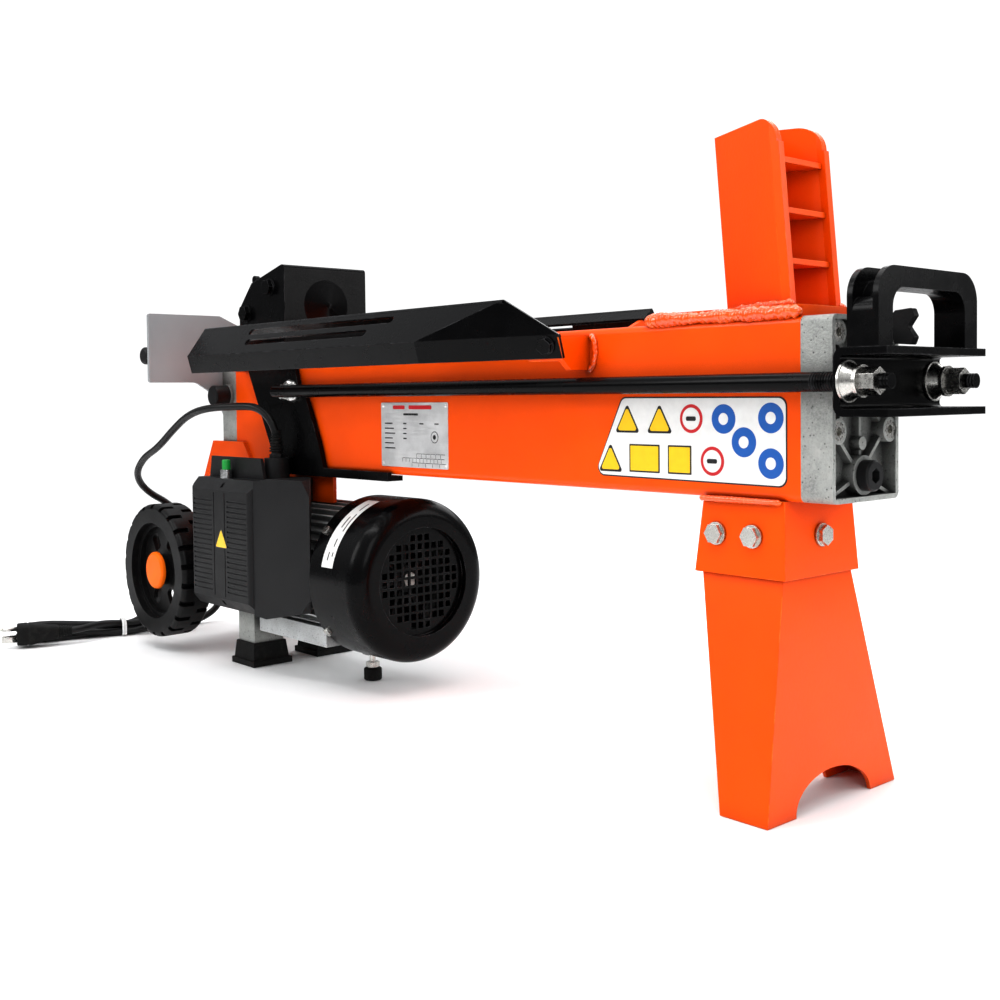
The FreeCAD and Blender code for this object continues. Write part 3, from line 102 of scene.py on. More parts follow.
def scaled(colour, factor):
    return tuple(min(1.0, c * factor) for c in colour[:3]) + (1.0,)


class Shader:
    """A Principled material whose colour, roughness and normal come from small node chains."""

    def __init__(self, name):
        self.material = bpy.data.materials.new(name)
        self.material.use_nodes = True
        self.tree = self.material.node_tree
        self.main = self.tree.nodes["Principled BSDF"]
        coordinates = self.tree.nodes.new("ShaderNodeTexCoord")
        self.where = coordinates.outputs["Object"]

    def node(self, kind, **inputs):
        made = self.tree.nodes.new(kind)
        for key, value in inputs.items():
            socket = made.inputs[key.replace("_", " ").strip()]
            if isinstance(value, bpy.types.NodeSocket):
                self.tree.links.new(value, socket)
            else:
                socket.default_value = value
        return made

    def link(self, source, target):
        self.tree.links.new(source, target)

    def stretched(self, factors):
        return self.node("ShaderNodeMapping", Vector=self.where, Scale=factors).outputs["Vector"]

    def noise(self, scale, detail=4.0, roughness=0.55, where=None):
        made = self.node("ShaderNodeTexNoise", Vector=where or self.where, Scale=scale,
                         Detail=detail, Roughness=roughness)
        return made.outputs["Fac"]

    def cells(self, scale, output="Distance", where=None):
        return self.node("ShaderNodeTexVoronoi", Vector=where or self.where,
                         Scale=scale).outputs[output]

    def ramp(self, value, low, high, out_low=0.0, out_high=1.0):
        made = self.node("ShaderNodeMapRange", Value=value)
        made.clamp = True
        for key, number in (("From Min", low), ("From Max", high), ("To Min", out_low),
                            ("To Max", out_high)):
            made.inputs[key].default_value = number
        return made.outputs["Result"]

    def math(self, operation, first, second):
        made = self.tree.nodes.new("ShaderNodeMath")
        made.operation = operation
        for socket, value in zip(made.inputs, (first, second)):
            if isinstance(value, bpy.types.NodeSocket):
                self.link(value, socket)
            else:
                socket.default_value = value
        return made.outputs[0]

    def mix(self, amount, first, second):
        made = self.tree.nodes.new("ShaderNodeMix")
        made.data_type = "RGBA"
        for index, value in ((0, amount), (6, first), (7, second)):
            if isinstance(value, bpy.types.NodeSocket):
                self.link(value, made.inputs[index])
            else:
                made.inputs[index].default_value = value
        return made.outputs[2]

    def edges(self, radius, low, high):
        """1 on sharp edges, worn away in patches, and 0 on faces."""
        bevel = self.node("ShaderNodeBevel", Radius=radius)
        bevel.samples = 4
        flat = self.tree.nodes.new("ShaderNodeNewGeometry")
        dot = self.tree.nodes.new("ShaderNodeVectorMath")
        dot.operation = "DOT_PRODUCT"
        self.link(bevel.outputs["Normal"], dot.inputs[0])
        self.link(flat.outputs["True Normal"], dot.inputs[1])
        edge = self.ramp(dot.outputs["Value"], 0.995, 0.93)
        patches = self.ramp(self.noise(70.0), low, high)
        return self.math("MULTIPLY", edge, patches)

    def painted_shade(self, distance, low=0.35, high=0.85):
        """Mask of painted shade from ambient occlusion: 1 in corners and pockets, and 0 on open faces."""
        shade = self.node("ShaderNodeAmbientOcclusion", Distance=distance)
        shade.samples = 6
        return self.ramp(shade.outputs["AO"], high, low)

    def surface(self, height, strength, distance, bevel=0.0006):
        """Bump from a height, laid over softly rounded edges."""
        rounded = self.node("ShaderNodeBevel", Radius=bevel)
        rounded.samples = 4
        bump = self.node("ShaderNodeBump", Height=height, Strength=strength, Distance=distance,
                         Normal=rounded.outputs["Normal"])
        self.link(bump.outputs["Normal"], self.main.inputs["Normal"])

    def constants(self, metal=0.0, coat=0.0, coat_rough=0.08, specular=0.5):
        self.main.inputs["Metallic"].default_value = metal
        self.main.inputs["Coat Weight"].default_value = coat
        self.main.inputs["Coat Roughness"].default_value = coat_rough
        self.main.inputs["Specular IOR Level"].default_value = specular

    def colour(self, value):
        self.link(value, self.main.inputs["Base Color"])

    def rough(self, value):
        self.link(value, self.main.inputs["Roughness"])


def powder_coat(name, colour, worn, rough, coat, specular=0.5):
    """Sprayed and baked paint: orange peel, faint clouding, dust, worn edges and painted shade in corners.
    """
    paint = Shader(name)
    clouds = paint.ramp(paint.noise(11.0), 0.3, 0.7)
    tint = paint.mix(clouds, scaled(colour, 0.93), scaled(colour, 1.05))
    specks = paint.ramp(paint.noise(900.0, 2.0), 0.66, 0.74, 0.0, 0.35)
    tint = paint.mix(specks, tint, scaled(colour, 0.72))
    # painted shade: corners and pockets are darkened to half the paint's colour
    tint = paint.mix(paint.painted_shade(0.02), tint, scaled(colour, 0.5))
    tint = paint.mix(paint.edges(0.0011, 0.46, 0.62), tint, worn)
    paint.colour(tint)
    smudges = paint.ramp(paint.noise(26.0, 6.0, 0.65), 0.35, 0.75, rough, rough + 0.14)
    paint.rough(smudges)
    peel = paint.math("ADD", paint.noise(330.0, 2.0), paint.math("MULTIPLY", paint.noise(1500.0, 1.0), 0.3))
    paint.surface(peel, 0.16, 0.0006, 0.0009)
    paint.constants(coat=coat, coat_rough=0.06, specular=specular)
    return paint.material


def cast_metal(name, light, dark, rough, metal, painted_pocket_shade=0.12):
    """Sand-cast aluminium: grainy skin, pits and stains, with painted shade darkening its pockets."""
    casting = Shader(name)
    stains = casting.ramp(casting.noise(38.0, 8.0, 0.7), 0.32, 0.68)
    grain = casting.ramp(casting.noise(620.0, 3.0, 0.7), 0.35, 0.65)
    tint = casting.mix(stains, dark, light)
    tint = casting.mix(casting.math("MULTIPLY", grain, 0.5), tint, scaled(light, 1.25))
    pits = casting.ramp(casting.cells(260.0), 0.06, 0.22)
    tint = casting.mix(pits, scaled(dark, 0.45), tint)
    tint = casting.mix(casting.edges(0.0012, 0.35, 0.6), tint, scaled(light, 1.4))
    # painted shade: pockets darken towards a fraction of the dark tone
    tint = casting.mix(casting.painted_shade(0.022, 0.3, 0.9), tint, scaled(dark, painted_pocket_shade))
    casting.colour(tint)
    casting.rough(casting.ramp(grain, 0.0, 1.0, rough, rough + 0.2))
    height = casting.math("ADD", grain, casting.math("MULTIPLY", pits, 0.9))
    casting.surface(height, 0.55, 0.0004, 0.001)
    casting.constants(metal=metal)
    return casting.material


def bright_metal(name, colour, rough, along=(1.0, 1.0, 1.0), scratch=420.0, bump=0.08):
    """Plated or turned steel: brushed lines along one direction, smears and dull spots."""
    steel = Shader(name)
    lines = steel.noise(scratch, 3.0, 0.6, steel.stretched(along))
    smears = steel.ramp(steel.noise(45.0, 5.0, 0.6), 0.3, 0.7)
    tint = steel.mix(smears, scaled(colour, 0.82), scaled(colour, 1.08))
    tint = steel.mix(steel.edges(0.0007, 0.3, 0.6), tint, scaled(colour, 1.3))
    steel.colour(tint)
    steel.rough(steel.ramp(lines, 0.3, 0.7, rough, rough + 0.16))
    steel.surface(lines, bump, 0.0003, 0.0004)
    steel.constants(metal=1.0)
    return steel.material


def satin_sheet(name, colour):
    """Plated sheet with a dull even sheen, faint rolling lines and a few smears."""
    sheet = Shader(name)
    clouds = sheet.ramp(sheet.noise(14.0, 5.0), 0.3, 0.7)
    tint = sheet.mix(clouds, scaled(colour, 0.93), scaled(colour, 1.05))
    tint = sheet.mix(sheet.edges(0.001, 0.4, 0.6), tint, scaled(colour, 1.3))
    sheet.colour(tint)
    lines = sheet.noise(700.0, 3.0, 0.6, sheet.stretched((1.0, 1.0, 0.08)))
    sheet.rough(sheet.ramp(lines, 0.3, 0.7, 0.4, 0.5))
    sheet.surface(lines, 0.06, 0.0003, 0.0006)
    sheet.constants(metal=0.1, specular=0.4)
    return sheet.material


def moulded(name, colour, rough, grain=1100.0, bump=0.22, coat=0.0, dust=0.0, specular=0.5):
    """Moulded plastic or rubber: spark-eroded grain, slight flow marks, paler rubbed edges."""
    plastic = Shader(name)
    flow = plastic.ramp(plastic.noise(30.0, 3.0), 0.3, 0.7)
    tint = plastic.mix(flow, scaled(colour, 0.88), scaled(colour, 1.12))
    if dust:
        settled = plastic.ramp(plastic.noise(120.0, 8.0, 0.75), 0.5, 0.8, 0.0, dust)
        tint = plastic.mix(settled, tint, rgb(120, 116, 108))
    tint = plastic.mix(plastic.edges(0.0009, 0.4, 0.7), tint, scaled(colour, 2.2))
    plastic.colour(tint)
    leather = plastic.math("ADD", plastic.noise(grain, 3.0), plastic.math(
        "MULTIPLY", plastic.cells(grain * 0.9), 0.6))
    plastic.rough(plastic.ramp(plastic.noise(60.0, 4.0), 0.3, 0.7, rough, rough + 0.12))
    plastic.surface(leather, bump, 0.00035, 0.0007)
    plastic.constants(coat=coat, coat_rough=0.15, specular=specular)
    return plastic.material


def printed(name, colour, rough=0.3):
    """Printed film or enamelled plate: slight mottling under a clear layer."""
    film = Shader(name)
    mottle = film.ramp(film.noise(160.0, 5.0), 0.3, 0.7)
    film.colour(film.mix(mottle, scaled(colour, 0.93), colour))
    film.rough(film.ramp(film.noise(400.0), 0.3, 0.7, rough, rough + 0.12))
    film.surface(film.noise(220.0), 0.06, 0.0003, 0.0003)
    film.constants(coat=0.3, coat_rough=0.12)
    return film.material


ORANGE = rgb(253, 88, 0)
RUBBED_ORANGE = rgb(255, 130, 50)
STEEL = (0.62, 0.61, 0.58, 1.0)
FINE_GRAIN = 900.0

# Look of each material slot in the record. The numbers after the colours are roughness first, then
# coat and specular for paint, metallic for castings, and grain and its depth for plastic.
FINISHES = {
    "orange_paint": powder_coat("orange_paint", ORANGE, RUBBED_ORANGE, 0.32, 0.2, 0.15),
    "black_paint": powder_coat("black_paint", rgb(6, 6, 7), rgb(70, 70, 72), 0.2, 0.06, 0.09),
    # For the castings, the last number sets how dark the painted shade in their pockets is.
    "cast_aluminium": cast_metal("cast_aluminium", (0.45, 0.46, 0.44, 1), (0.22, 0.23, 0.22, 1), 0.42, 0.4,
                                 painted_pocket_shade=0.2),
    "motor_aluminium": cast_metal("motor_aluminium", (0.62, 0.64, 0.64, 1), (0.4, 0.41, 0.41, 1), 0.3, 0.4,
                                  painted_pocket_shade=0.5),
    "zinc_steel": bright_metal("zinc_steel", (0.6, 0.59, 0.56, 1), 0.2),
    "bare_steel": bright_metal("bare_steel", STEEL, 0.28, (1, 0.08, 1)),
    "chromed_steel": bright_metal("chromed_steel", (0.8, 0.8, 0.8, 1), 0.08, (0.1, 1, 1), 600.0, 0.03),
    "spring_steel": bright_metal("spring_steel", (0.3, 0.3, 0.3, 1), 0.35),
    "guard_steel": satin_sheet("guard_steel", (0.34, 0.35, 0.36, 1)),
    "bronze": bright_metal("bronze", (0.6, 0.42, 0.2, 1), 0.3),
    "stator_copper": bright_metal("stator_copper", (0.62, 0.28, 0.14, 1), 0.32, (0.1, 1, 1), 900.0, 0.3),
    "black_plastic": moulded("black_plastic", rgb(30, 30, 31), 0.36, specular=0.2),
    "wheel_plastic": moulded("wheel_plastic", rgb(12, 12, 13), 0.34, 700.0, 0.18, dust=0.06, specular=0.2),
    "orange_plastic": moulded("orange_plastic", rgb(250, 112, 10), 0.3, FINE_GRAIN, 0.08, specular=0.12),
    "green_plastic": moulded("green_plastic", rgb(20, 150, 60), 0.25, FINE_GRAIN, 0.06, coat=0.3),
    "grey_plastic": moulded("grey_plastic", rgb(210, 210, 208), 0.4, FINE_GRAIN, 0.08),
    "black_rubber": moulded("black_rubber", rgb(16, 16, 16), 0.6, 500.0, 0.3, dust=0.12, specular=0.2),
    "cord_rubber": moulded("cord_rubber", rgb(14, 14, 15), 0.34, 800.0, 0.1, dust=0.04, specular=0.3),

    # looks that have no slot of their own in the record
    "weld_paint": powder_coat("weld_paint", ORANGE, RUBBED_ORANGE, 0.12, 1.0, 0.5),
    "weld_metal": bright_metal("weld_metal", (0.62, 0.62, 0.6, 1), 0.3, bump=0.3),
    "plate_metal": bright_metal("plate_metal", (0.78, 0.78, 0.78, 1), 0.38, (0.05, 1, 1), 900.0, 0.05),
    "white_film": printed("white_film", rgb(238, 238, 236)),
    "yellow_film": printed("yellow_film", rgb(250, 205, 20)),
    "red_film": printed("red_film", rgb(205, 25, 35)),
    "blue_film": printed("blue_film", rgb(20, 95, 180)),
    "black_film": printed("black_film", rgb(22, 22, 24)),
    "handle_plastic": moulded("handle_plastic", rgb(8, 8, 9), 0.2, FINE_GRAIN, 0.06, coat=0.06,
                              specular=0.12),
}
NODE_LOOKS = {"pull_handle": "handle_plastic"}      # nodes that differ from the rest of their slot


def paint_nodes():
    for part in frame["record"]["subparts"]:
        node = frame["nodes"][part["node"]]
        look = NODE_LOOKS.get(part["node"], part["material_slot"])
        node.data.materials.clear()
        node.data.materials.append(FINISHES[look])


paint_nodes()


def compress_spring():
    """The return spring rides on the piston and shortens towards it as the carriage runs out; here it only
    gets a mesh of its own.
    """
    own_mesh(frame["nodes"]["return_spring"])


compress_spring()


# ---------------------------------------------------------------- mesh helpers

def finish_piece(name, mesh, body, finishes, smooth=True):
    """Puts a mesh in the scene as a piece that rides on a body."""
    piece = bpy.data.objects.new(name, mesh)
    bpy.context.scene.collection.objects.link(piece)
    for finish in finishes:
        mesh.materials.append(finish)
    if smooth:
        mesh.polygons.foreach_set("use_smooth", [True] * len(mesh.polygons))
    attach(piece, body)
    return piece


def mesh_of(bm, name):
    bmesh.ops.recalc_face_normals(bm, faces=bm.faces)
    mesh = bpy.data.meshes.new(name)
    bm.to_mesh(mesh)
    bm.free()
    return mesh


def skin(bm, rings, closed=False, capped=True):
    """Faces between rings of vertices. The ends are capped, unless the rings close on themselves."""
    pairs = list(zip(rings, rings[1:]))
    if closed:
        pairs.append((rings[-1], rings[0]))
    for first, second in pairs:
        count = len(first)
        for i in range(count):
            j = (i + 1) % count
            bm.faces.new((first[i], first[j], second[j], second[i]))
    if capped and not closed:
        bm.faces.new(rings[0])
        bm.faces.new(rings[-1])


def directions(points):
    """Unit direction of travel at each point of a line."""
    ends = [points[0]] + points + [points[-1]]
    return [(after - before).normalized() for before, after in zip(ends, ends[2:])]


def frame_at(direction, up):
    side = direction.cross(up).normalized()
    return side, side.cross(direction).normalized()


def along_line(points, step):
    """Evenly spaced points on a polyline."""
    made = []
    for start, end in zip(points, points[1:]):
        count = max(1, round((end - start).length / step))
        made += [start.lerp(end, i / count) for i in range(count)]
    return made + [points[-1]]


def lathe(bm, centre, axis, profile, sides=48):
    """Turned solid: profile is (distance along the axis, radius) pairs, in millimetres."""
    side, up = frame_at(axis, Vector((0.0, 0.0, 1.0)) if abs(axis.z) < 0.9 else Vector((0.0, 1.0, 0.0)))
    rings = []
    for distance, radius in profile:
        ring = []
        for i in range(sides):
            angle = 2 * math.pi * i / sides
            around = side * math.cos(angle) + up * math.sin(angle)
            ring.append(bm.verts.new(centre + axis * distance * MM + around * radius * MM))
        rings.append(ring)
    skin(bm, rings)


# ---------------------------------------------------------------- mains lead

CORD_DIAMETER = 8.0
LEAD = [(-651, -60, 229), (-651, -60, 231.5), (-651, -60, 245), (-656.5, -61.8, 258.6),
        (-666.7, -65, 269.3), (-680, -69.2, 275), (-698, -75, 275.6), (-745, -89, 274),
        (-790, -88, 266), (-828, -87, 249), (-867, -86.3, 228), (-908.5, -85.4, 214.6),
        (-939, -81, 193), (-954, -60.4, 171.6), (-945.5, -32, 154), (-944, 6, 114),
        (-948, 34, 76), (-952, 43, 44), (-954, 34, 18), (-956, 10, 5), (-956, -17, 5)]
TIE_X, TIE_Y = -957.0, -92.0
NECK = 14.0                  # half the length of the bundle that the tie holds together
LOBES = {"left": (240.3, 91.0, 1), "right": (83.2, 60.0, -1)}    # heading, reach, near side
SLOTS = [(0, 4), (-8.3, 4), (8, 4.3), (-4.5, 11.5), (4.2, 12)]   # side and height of each run at the tie
FOLD_R = 28.3
FOLD_TIGHTER = 1.1           # how much less the second turn's radius is
LOBE_Z = {"left": (4, 12), "right": (13, 21)}
CORNERS = 5
CORNER_GAP = 25.0


def hank_point(side, along, across, height):
    """Point of the hank from its tie: along the lobe's axis, and across it towards the machine."""
    heading, _, near = LOBES[side]
    ahead = math.radians(heading)
    aside = ahead + near * math.pi / 2
    return (TIE_X + along * math.cos(ahead) + across * math.cos(aside),
            TIE_Y + along * math.sin(ahead) + across * math.sin(aside), height)


def hank_fold(side, turn, slot_in, slot_out):
    """One end loop of the hank: out from the tie, round the lobe and back to the tie."""
    reach = LOBES[side][1]
    radius = FOLD_R - turn * FOLD_TIGHTER
    height = LOBE_Z[side][turn]
    (across_in, z_in), (across_out, z_out) = slot_in, slot_out
    sign = 1 if across_in > across_out else -1
    start, end = (math.pi / 2 + math.asin((radius - abs(across)) / (reach - NECK))
                  for across in (across_in, across_out))
    step = (start + end) / CORNERS
    outside = radius / math.cos(step / 2)
    corners = []
    for i in range(CORNERS):
        angle = sign * (start - step * (i + 0.5))
        corners.append((reach + outside * math.cos(angle), outside * math.sin(angle)))

    def leg(across, z, corner):
        run = math.hypot(corner[0] - NECK, corner[1] - across)
        made = [(NECK, across, z)]
        for i in (2, 1) if run > 70 else (1,):
            part = 1 - CORNER_GAP * i / run
            made.append((NECK + (corner[0] - NECK) * part, across + (corner[1] - across) * part,
                         height if i == 1 else z + (height - z) * 0.6))
        return made

    line = leg(across_in, z_in, corners[0]) + [(u, v, height) for u, v in corners]
    line += reversed(leg(across_out, z_out, corners[-1]))
    return [hank_point(side, *p) for p in line]


def hank():
    """The spare lead, folded back and forth through the tie, then out to the plug."""
    line = [hank_point("right", 16, 1, 4)]
    for turn in range(2):
        first, second, third = SLOTS[2 * turn:2 * turn + 3]
        line += hank_fold("left", turn, first, second)
        line += hank_fold("right", turn, second, third)
    to_plug = [(7, 5, 15), (26, 22, 18), (45.2, 40.4, 15.5), (62.9, 43.3, 15)]
    return line + [hank_point("left", *p) for p in to_plug]


def make_cord():
    route = [place(*p) for p in LEAD + hank()]
    curve = bpy.data.curves.new("mains_cord", "CURVE")
    curve.dimensions = "3D"
    curve.bevel_depth = CORD_DIAMETER / 2 * MM
    curve.bevel_resolution = 5
    curve.resolution_u = 10
    curve.use_fill_caps = True
    spline = curve.splines.new("NURBS")
    spline.points.add(len(route) - 1)
    for point, where in zip(spline.points, route):
        point.co = (*where, 1.0)
    spline.order_u = 3
    spline.use_endpoint_u = True
    curve.materials.append(FINISHES["cord_rubber"])
    cord = bpy.data.objects.new("mains_cord", curve)
    bpy.context.scene.collection.objects.link(cord)
    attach(cord, "machine")
    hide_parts("mains_lead", "lead_hank")
    return cord, route


def make_strain_relief():
    """Ribbed rubber sleeve that tapers from the gland nut up the lead."""
    bm = bmesh.new()
    profile = [(-0.5, 4.3), (-0.5, 7.4), (1.0, 7.6)]
    ribs = 6
    pitch = 3.1
    for i in range(ribs):
        base = 1.2 + pitch * i
        outer = 7.3 - 0.42 * i
        profile += [(base, outer - 1.1), (base + 0.9, outer - 1.1), (base + 1.2, outer),
                    (base + 2.6, outer - 0.15), (base + 2.9, outer - 1.2)]
    profile += [(21.2, 4.9), (21.8, 4.5)]
    lathe(bm, place(*LEAD[0]), Vector((0.0, 0.0, 1.0)), profile)
    return finish_piece("lead_sleeve", mesh_of(bm, "lead_sleeve"), "machine",
                        [FINISHES["black_rubber"]])


def superellipse(half_y, half_z, power, count=32):
    """Outline between an ellipse and a rectangle; a higher power is squarer."""
    line = []
    for i in range(count):
        angle = 2 * math.pi * i / count
        c, s = math.cos(angle), math.sin(angle)
        line.append((math.copysign(abs(c) ** (2 / power), c) * half_y,
                     math.copysign(abs(s) ** (2 / power), s) * half_z))
    return line


def make_tie():
    """Pale plastic strap round the middle of the hank."""
    bm = bmesh.new()
    heading = math.radians((LOBES["left"][0] - 180 + LOBES["right"][0]) / 2)
    ahead = Vector((math.cos(heading), math.sin(heading), 0.0))
    aside = Vector((math.sin(heading), -math.cos(heading), 0.0))
    centre = place(TIE_X, TIE_Y, 9.4)
    half_width, half_height, power = 14.6, 9.0, 3.2
    rings = []
    for across, height in superellipse(half_width, half_height, power, 56):
        out = aside * across + Vector((0, 0, height))
        wall = out.normalized() * 1.1
        rings.append([bm.verts.new(centre + (out + ahead * e + wall * w) * MM)
                      for e, w in ((-2.4, 0), (-2.6, 0.6), (-2.4, 1.0), (2.4, 1.0), (2.6, 0.6), (2.4, 0))])
    skin(bm, rings, closed=True)
    return finish_piece("lead_tie", mesh_of(bm, "lead_tie"), "machine",
                        [FINISHES["grey_plastic"]])


def make_plug(route):
    """Moulded three-pin plug that lies in front of the hank."""
    low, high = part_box("mains_plug")
    heading = (route[-1] - route[-2]).normalized()
    heading.z = 0.0
    side, up = frame_at(heading, Vector((0.0, 0.0, 1.0)))
    back = route[-1] + heading * 4.2 * MM
    back.z = (low.z + high.z) / 2

    def section(bm, distance, half_y, half_z, power):
        return [bm.verts.new(back + (heading * distance + side * y + up * z) * MM)
                for y, z in superellipse(half_y, half_z, power)]

    bm = bmesh.new()
    rings = []
    for i in range(5):
        start = -13.6 + 2.9 * i
        outer = 5.3 + 0.35 * i
        rings += [section(bm, start, outer, outer, 2.2), section(bm, start + 1.5, outer, outer, 2.2),
                  section(bm, start + 1.8, outer - 0.8, outer - 0.8, 2.2),
                  section(bm, start + 2.6, outer - 0.8, outer - 0.8, 2.2)]
    for step in ((1.5, 8.0, 7.4, 2.6), (4.0, 9.2, 8.2, 3.0), (12.0, 9.6, 8.6, 3.4), (22.0, 11.6, 10.6, 3.8),
                 (30.0, 13.2, 12.2, 4.2), (33.0, 13.4, 12.4, 4.4), (33.6, 12.7, 11.8, 4.4),
                 (35.0, 12.7, 11.8, 4.4), (35.6, 13.4, 12.4, 4.4), (45.0, 13.0, 12.0, 4.4),
                 (46.0, 12.2, 11.2, 4.2)):
        rings.append(section(bm, *step))
    skin(bm, rings)
    body = finish_piece("plug_body", mesh_of(bm, "plug_body"), "machine",
                        [FINISHES["black_rubber"]])
    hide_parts("mains_plug")

    bm = bmesh.new()
    for centre_y in (-6.3, 6.3):
        rings = []
        for distance, shrink in ((44.0, 0.0), (60.0, 0.0), (61.6, 0.25), (62.4, 0.7)):
            rings.append([bm.verts.new(back + (heading * distance + side * (centre_y + y)
                                               + up * (z - 4.8)) * MM)
                          for y, z in superellipse(0.8 - shrink * 0.6, 3.2 - shrink, 6.0, 20)])
        skin(bm, rings)
    lathe(bm, back + up * 6.5 * MM, heading, [(44, 2.4), (61.5, 2.4), (63.2, 1.9), (64.0, 1.0)], 24)
    pins = finish_piece("plug_pins", mesh_of(bm, "plug_pins"), "machine",
                        [FINISHES["zinc_steel"]])
    return body, pins


cord, cord_route = make_cord()
cord_pieces = [make_strain_relief(), make_tie(), *make_plug(cord_route)]


# ---------------------------------------------------------------- welds

BLADE_NOSE, BLADE_BEND = -114.5, -45.0       # X of the blade's edge and of its bend, at its foot
LUG_WELD = ((-217, 331), (-212.5, 326), (-211.5, 316), (-213.5, 307), (-219, 302))   # X and Z
ROD_WELD = 34.0              # how far the rods' welds run along them


def bead(name, line, radius, body, finish, up=Vector((0, 0, 1)), ripple=3.4, rough=0.16):
    """Weld bead along a polyline in millimetres: crescent ripples over an uneven ridge."""
    points = along_line([place(*p) for p in line], 0.6 * MM)
    heads = directions(points)
    bm = bmesh.new()
    rings = []
    sides = 18
    travelled = 0.0
    for i, (point, head) in enumerate(zip(points, heads)):
        if i:
            travelled += (point - points[i - 1]).length / MM
        side, over = frame_at(head, up)
        swell = 1 + rough * noise.noise(point * 75 + Vector((radius, 0, 0)))
        end = min(i, len(points) - 1 - i)
        ease = math.sqrt(min(1.0, (end + 0.6) / (radius / 0.6)))
        ring = []
        for k in range(sides):
            angle = 2 * math.pi * k / sides
            lag = 0.9 * math.cos(angle) ** 2 * radius * 0.6
            wave = abs(math.sin(math.pi * (travelled + lag) / ripple))
            size = radius * swell * ease * (0.9 + 0.13 * wave)
            out = side * math.cos(angle) + over * math.sin(angle)
            lumps = 1 + 0.5 * rough * noise.noise((point + out * radius * MM) * 240)
            ring.append(bm.verts.new(point + out * size * lumps * MM))
        rings.append(ring)
    skin(bm, rings)
    return finish_piece(name, mesh_of(bm, name), body, [finish])


def box_mm(node):
    """Lowest and highest corner of a node in the machine's millimetres."""
    low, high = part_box(node)
    return (low - ORIGIN) / MM, (high - ORIGIN) / MM


def make_welds():
    """Painted beads round the wedge base, blade, leg socket and tray lug, and bare ones on the rods."""
    paint = FINISHES["weld_paint"]
    low, high = box_mm("wedge_base")
    beam_top = BEAM_HIGH.z / MM
    beam_bottom = BEAM_LOW.z / MM
    for name, y in (("weld_base_near", low.y), ("weld_base_far", high.y)):
        line = [(low.x - 2, y, beam_top + 3.0), (high.x + 2, y, beam_top + 3.0)]
        bead(name, line, 4.9, "machine", paint, ripple=5.2, rough=0.34)
    line = [(low.x - 1.5, low.y, beam_top + 2.6), (low.x - 1.5, high.y, beam_top + 2.6)]
    bead("weld_base_front", line, 4.6, "machine", paint, ripple=5.0, rough=0.5)
    back = box_mm("wedge_blade")[1]
    blade_foot = high.z + 1.2
    for name, side in (("weld_blade_near", -1), ("weld_blade_far", 1)):
        route = [(BLADE_NOSE, 0, blade_foot), (BLADE_BEND, side * (back.y + 0.6), blade_foot),
                 (high.x - 9, side * (back.y + 0.6), blade_foot)]
        bead(name, route, 2.8, "machine", paint, ripple=4.0, rough=0.5)
    socket_low, socket_high = box_mm("leg_socket")
    for name, y in (("weld_socket_near", socket_low.y + 1), ("weld_socket_far", socket_high.y - 1)):
        bead(name, [(socket_low.x + 4, y, beam_bottom - 0.6), (socket_high.x - 4, y, beam_bottom - 0.6)],
             2.2, "machine", paint)
    lug_y = BEAM_SIDE - 0.6
    bead("weld_lug", [(x, lug_y, z) for x, z in LUG_WELD], 2.6, "machine", paint,
         up=Vector((0, -1, 0)), ripple=4.0, rough=0.3)
    rod_low, rod_high = box_mm("pull_rods")
    plate_low, plate_high = box_mm("carriage_plates")
    rod_z = (rod_low.z + rod_high.z) / 2
    for name, y in (("near", plate_low.y - 1.5), ("far", plate_high.y + 1.5)):
        for edge, drop in (("top", 5.2), ("bottom", -5.6)):
            line = [(rod_low.x + 1, y, rod_z + drop), (rod_low.x + ROD_WELD, y, rod_z + drop)]
            bead(f"weld_rod_{name}_{edge}", line, 4.2, "carriage", FINISHES["weld_metal"],
                 ripple=3.6, rough=0.9)


make_welds()


# ---------------------------------------------------------------- plates and labels

def rounded(outline, radius, steps=5):
    """Closed outline with its corners rounded by arcs."""
    made = []
    count = len(outline)
    for i in range(count):
        corner = Vector(outline[i])
        before = (Vector(outline[i - 1]) - corner).normalized()
        after = (Vector(outline[(i + 1) % count]) - corner).normalized()
        half = before.angle(after) / 2
        middle = corner + (before + after).normalized() * radius / math.sin(half)
        first = corner + before * radius / math.tan(half) - middle
        last = corner + after * radius / math.tan(half) - middle
        for k in range(steps + 1):
            arc = first.lerp(last, k / steps).normalized() * radius
            made.append(tuple(middle + arc))
    return made


def disc(x, z, radius, steps=40):
    return [(x + radius * math.cos(2 * math.pi * i / steps), z + radius * math.sin(2 * math.pi * i / steps))
            for i in range(steps)]


def rectangle(x, z, width, height, radius=0.6):
    half_w, half_h = width / 2, height / 2
    corners = [(x - half_w, z - half_h), (x + half_w, z - half_h),
               (x + half_w, z + half_h), (x - half_w, z + half_h)]
    return rounded(corners, radius)


def triangle(x, z, width, height, radius=1.6):
    corners = [(x - width / 2, z - height / 2), (x + width / 2, z - height / 2), (x, z + height / 2)]
    return rounded(corners, radius)


def sticker(bm, outline, y, thickness, finish):
    """Thin layer on a face that looks along -Y, with a softened rim."""
    middle_x = sum(p[0] for p in outline) / len(outline)
    middle_z = sum(p[1] for p in outline) / len(outline)
    rings = []
    for depth, shrink in ((0.0, 0.0), (0.6, 0.0), (1.0, 0.3)):
        ring = []
        for x, z in outline:
            inwards = Vector((middle_x - x, middle_z - z))
            inwards = inwards.normalized() * min(shrink * thickness, inwards.length / 2)
            ring.append(bm.verts.new(place(x + inwards.x, y - depth * thickness, z + inwards.y)))
        rings.append(ring)
    start = len(bm.faces)
    skin(bm, rings)
    bm.faces.ensure_lookup_table()
    for face in bm.faces[start:]:
        face.material_index = finish


PANEL_BORDER = ((-1, -1), (1, -1), (1, 1), (-1, 1))


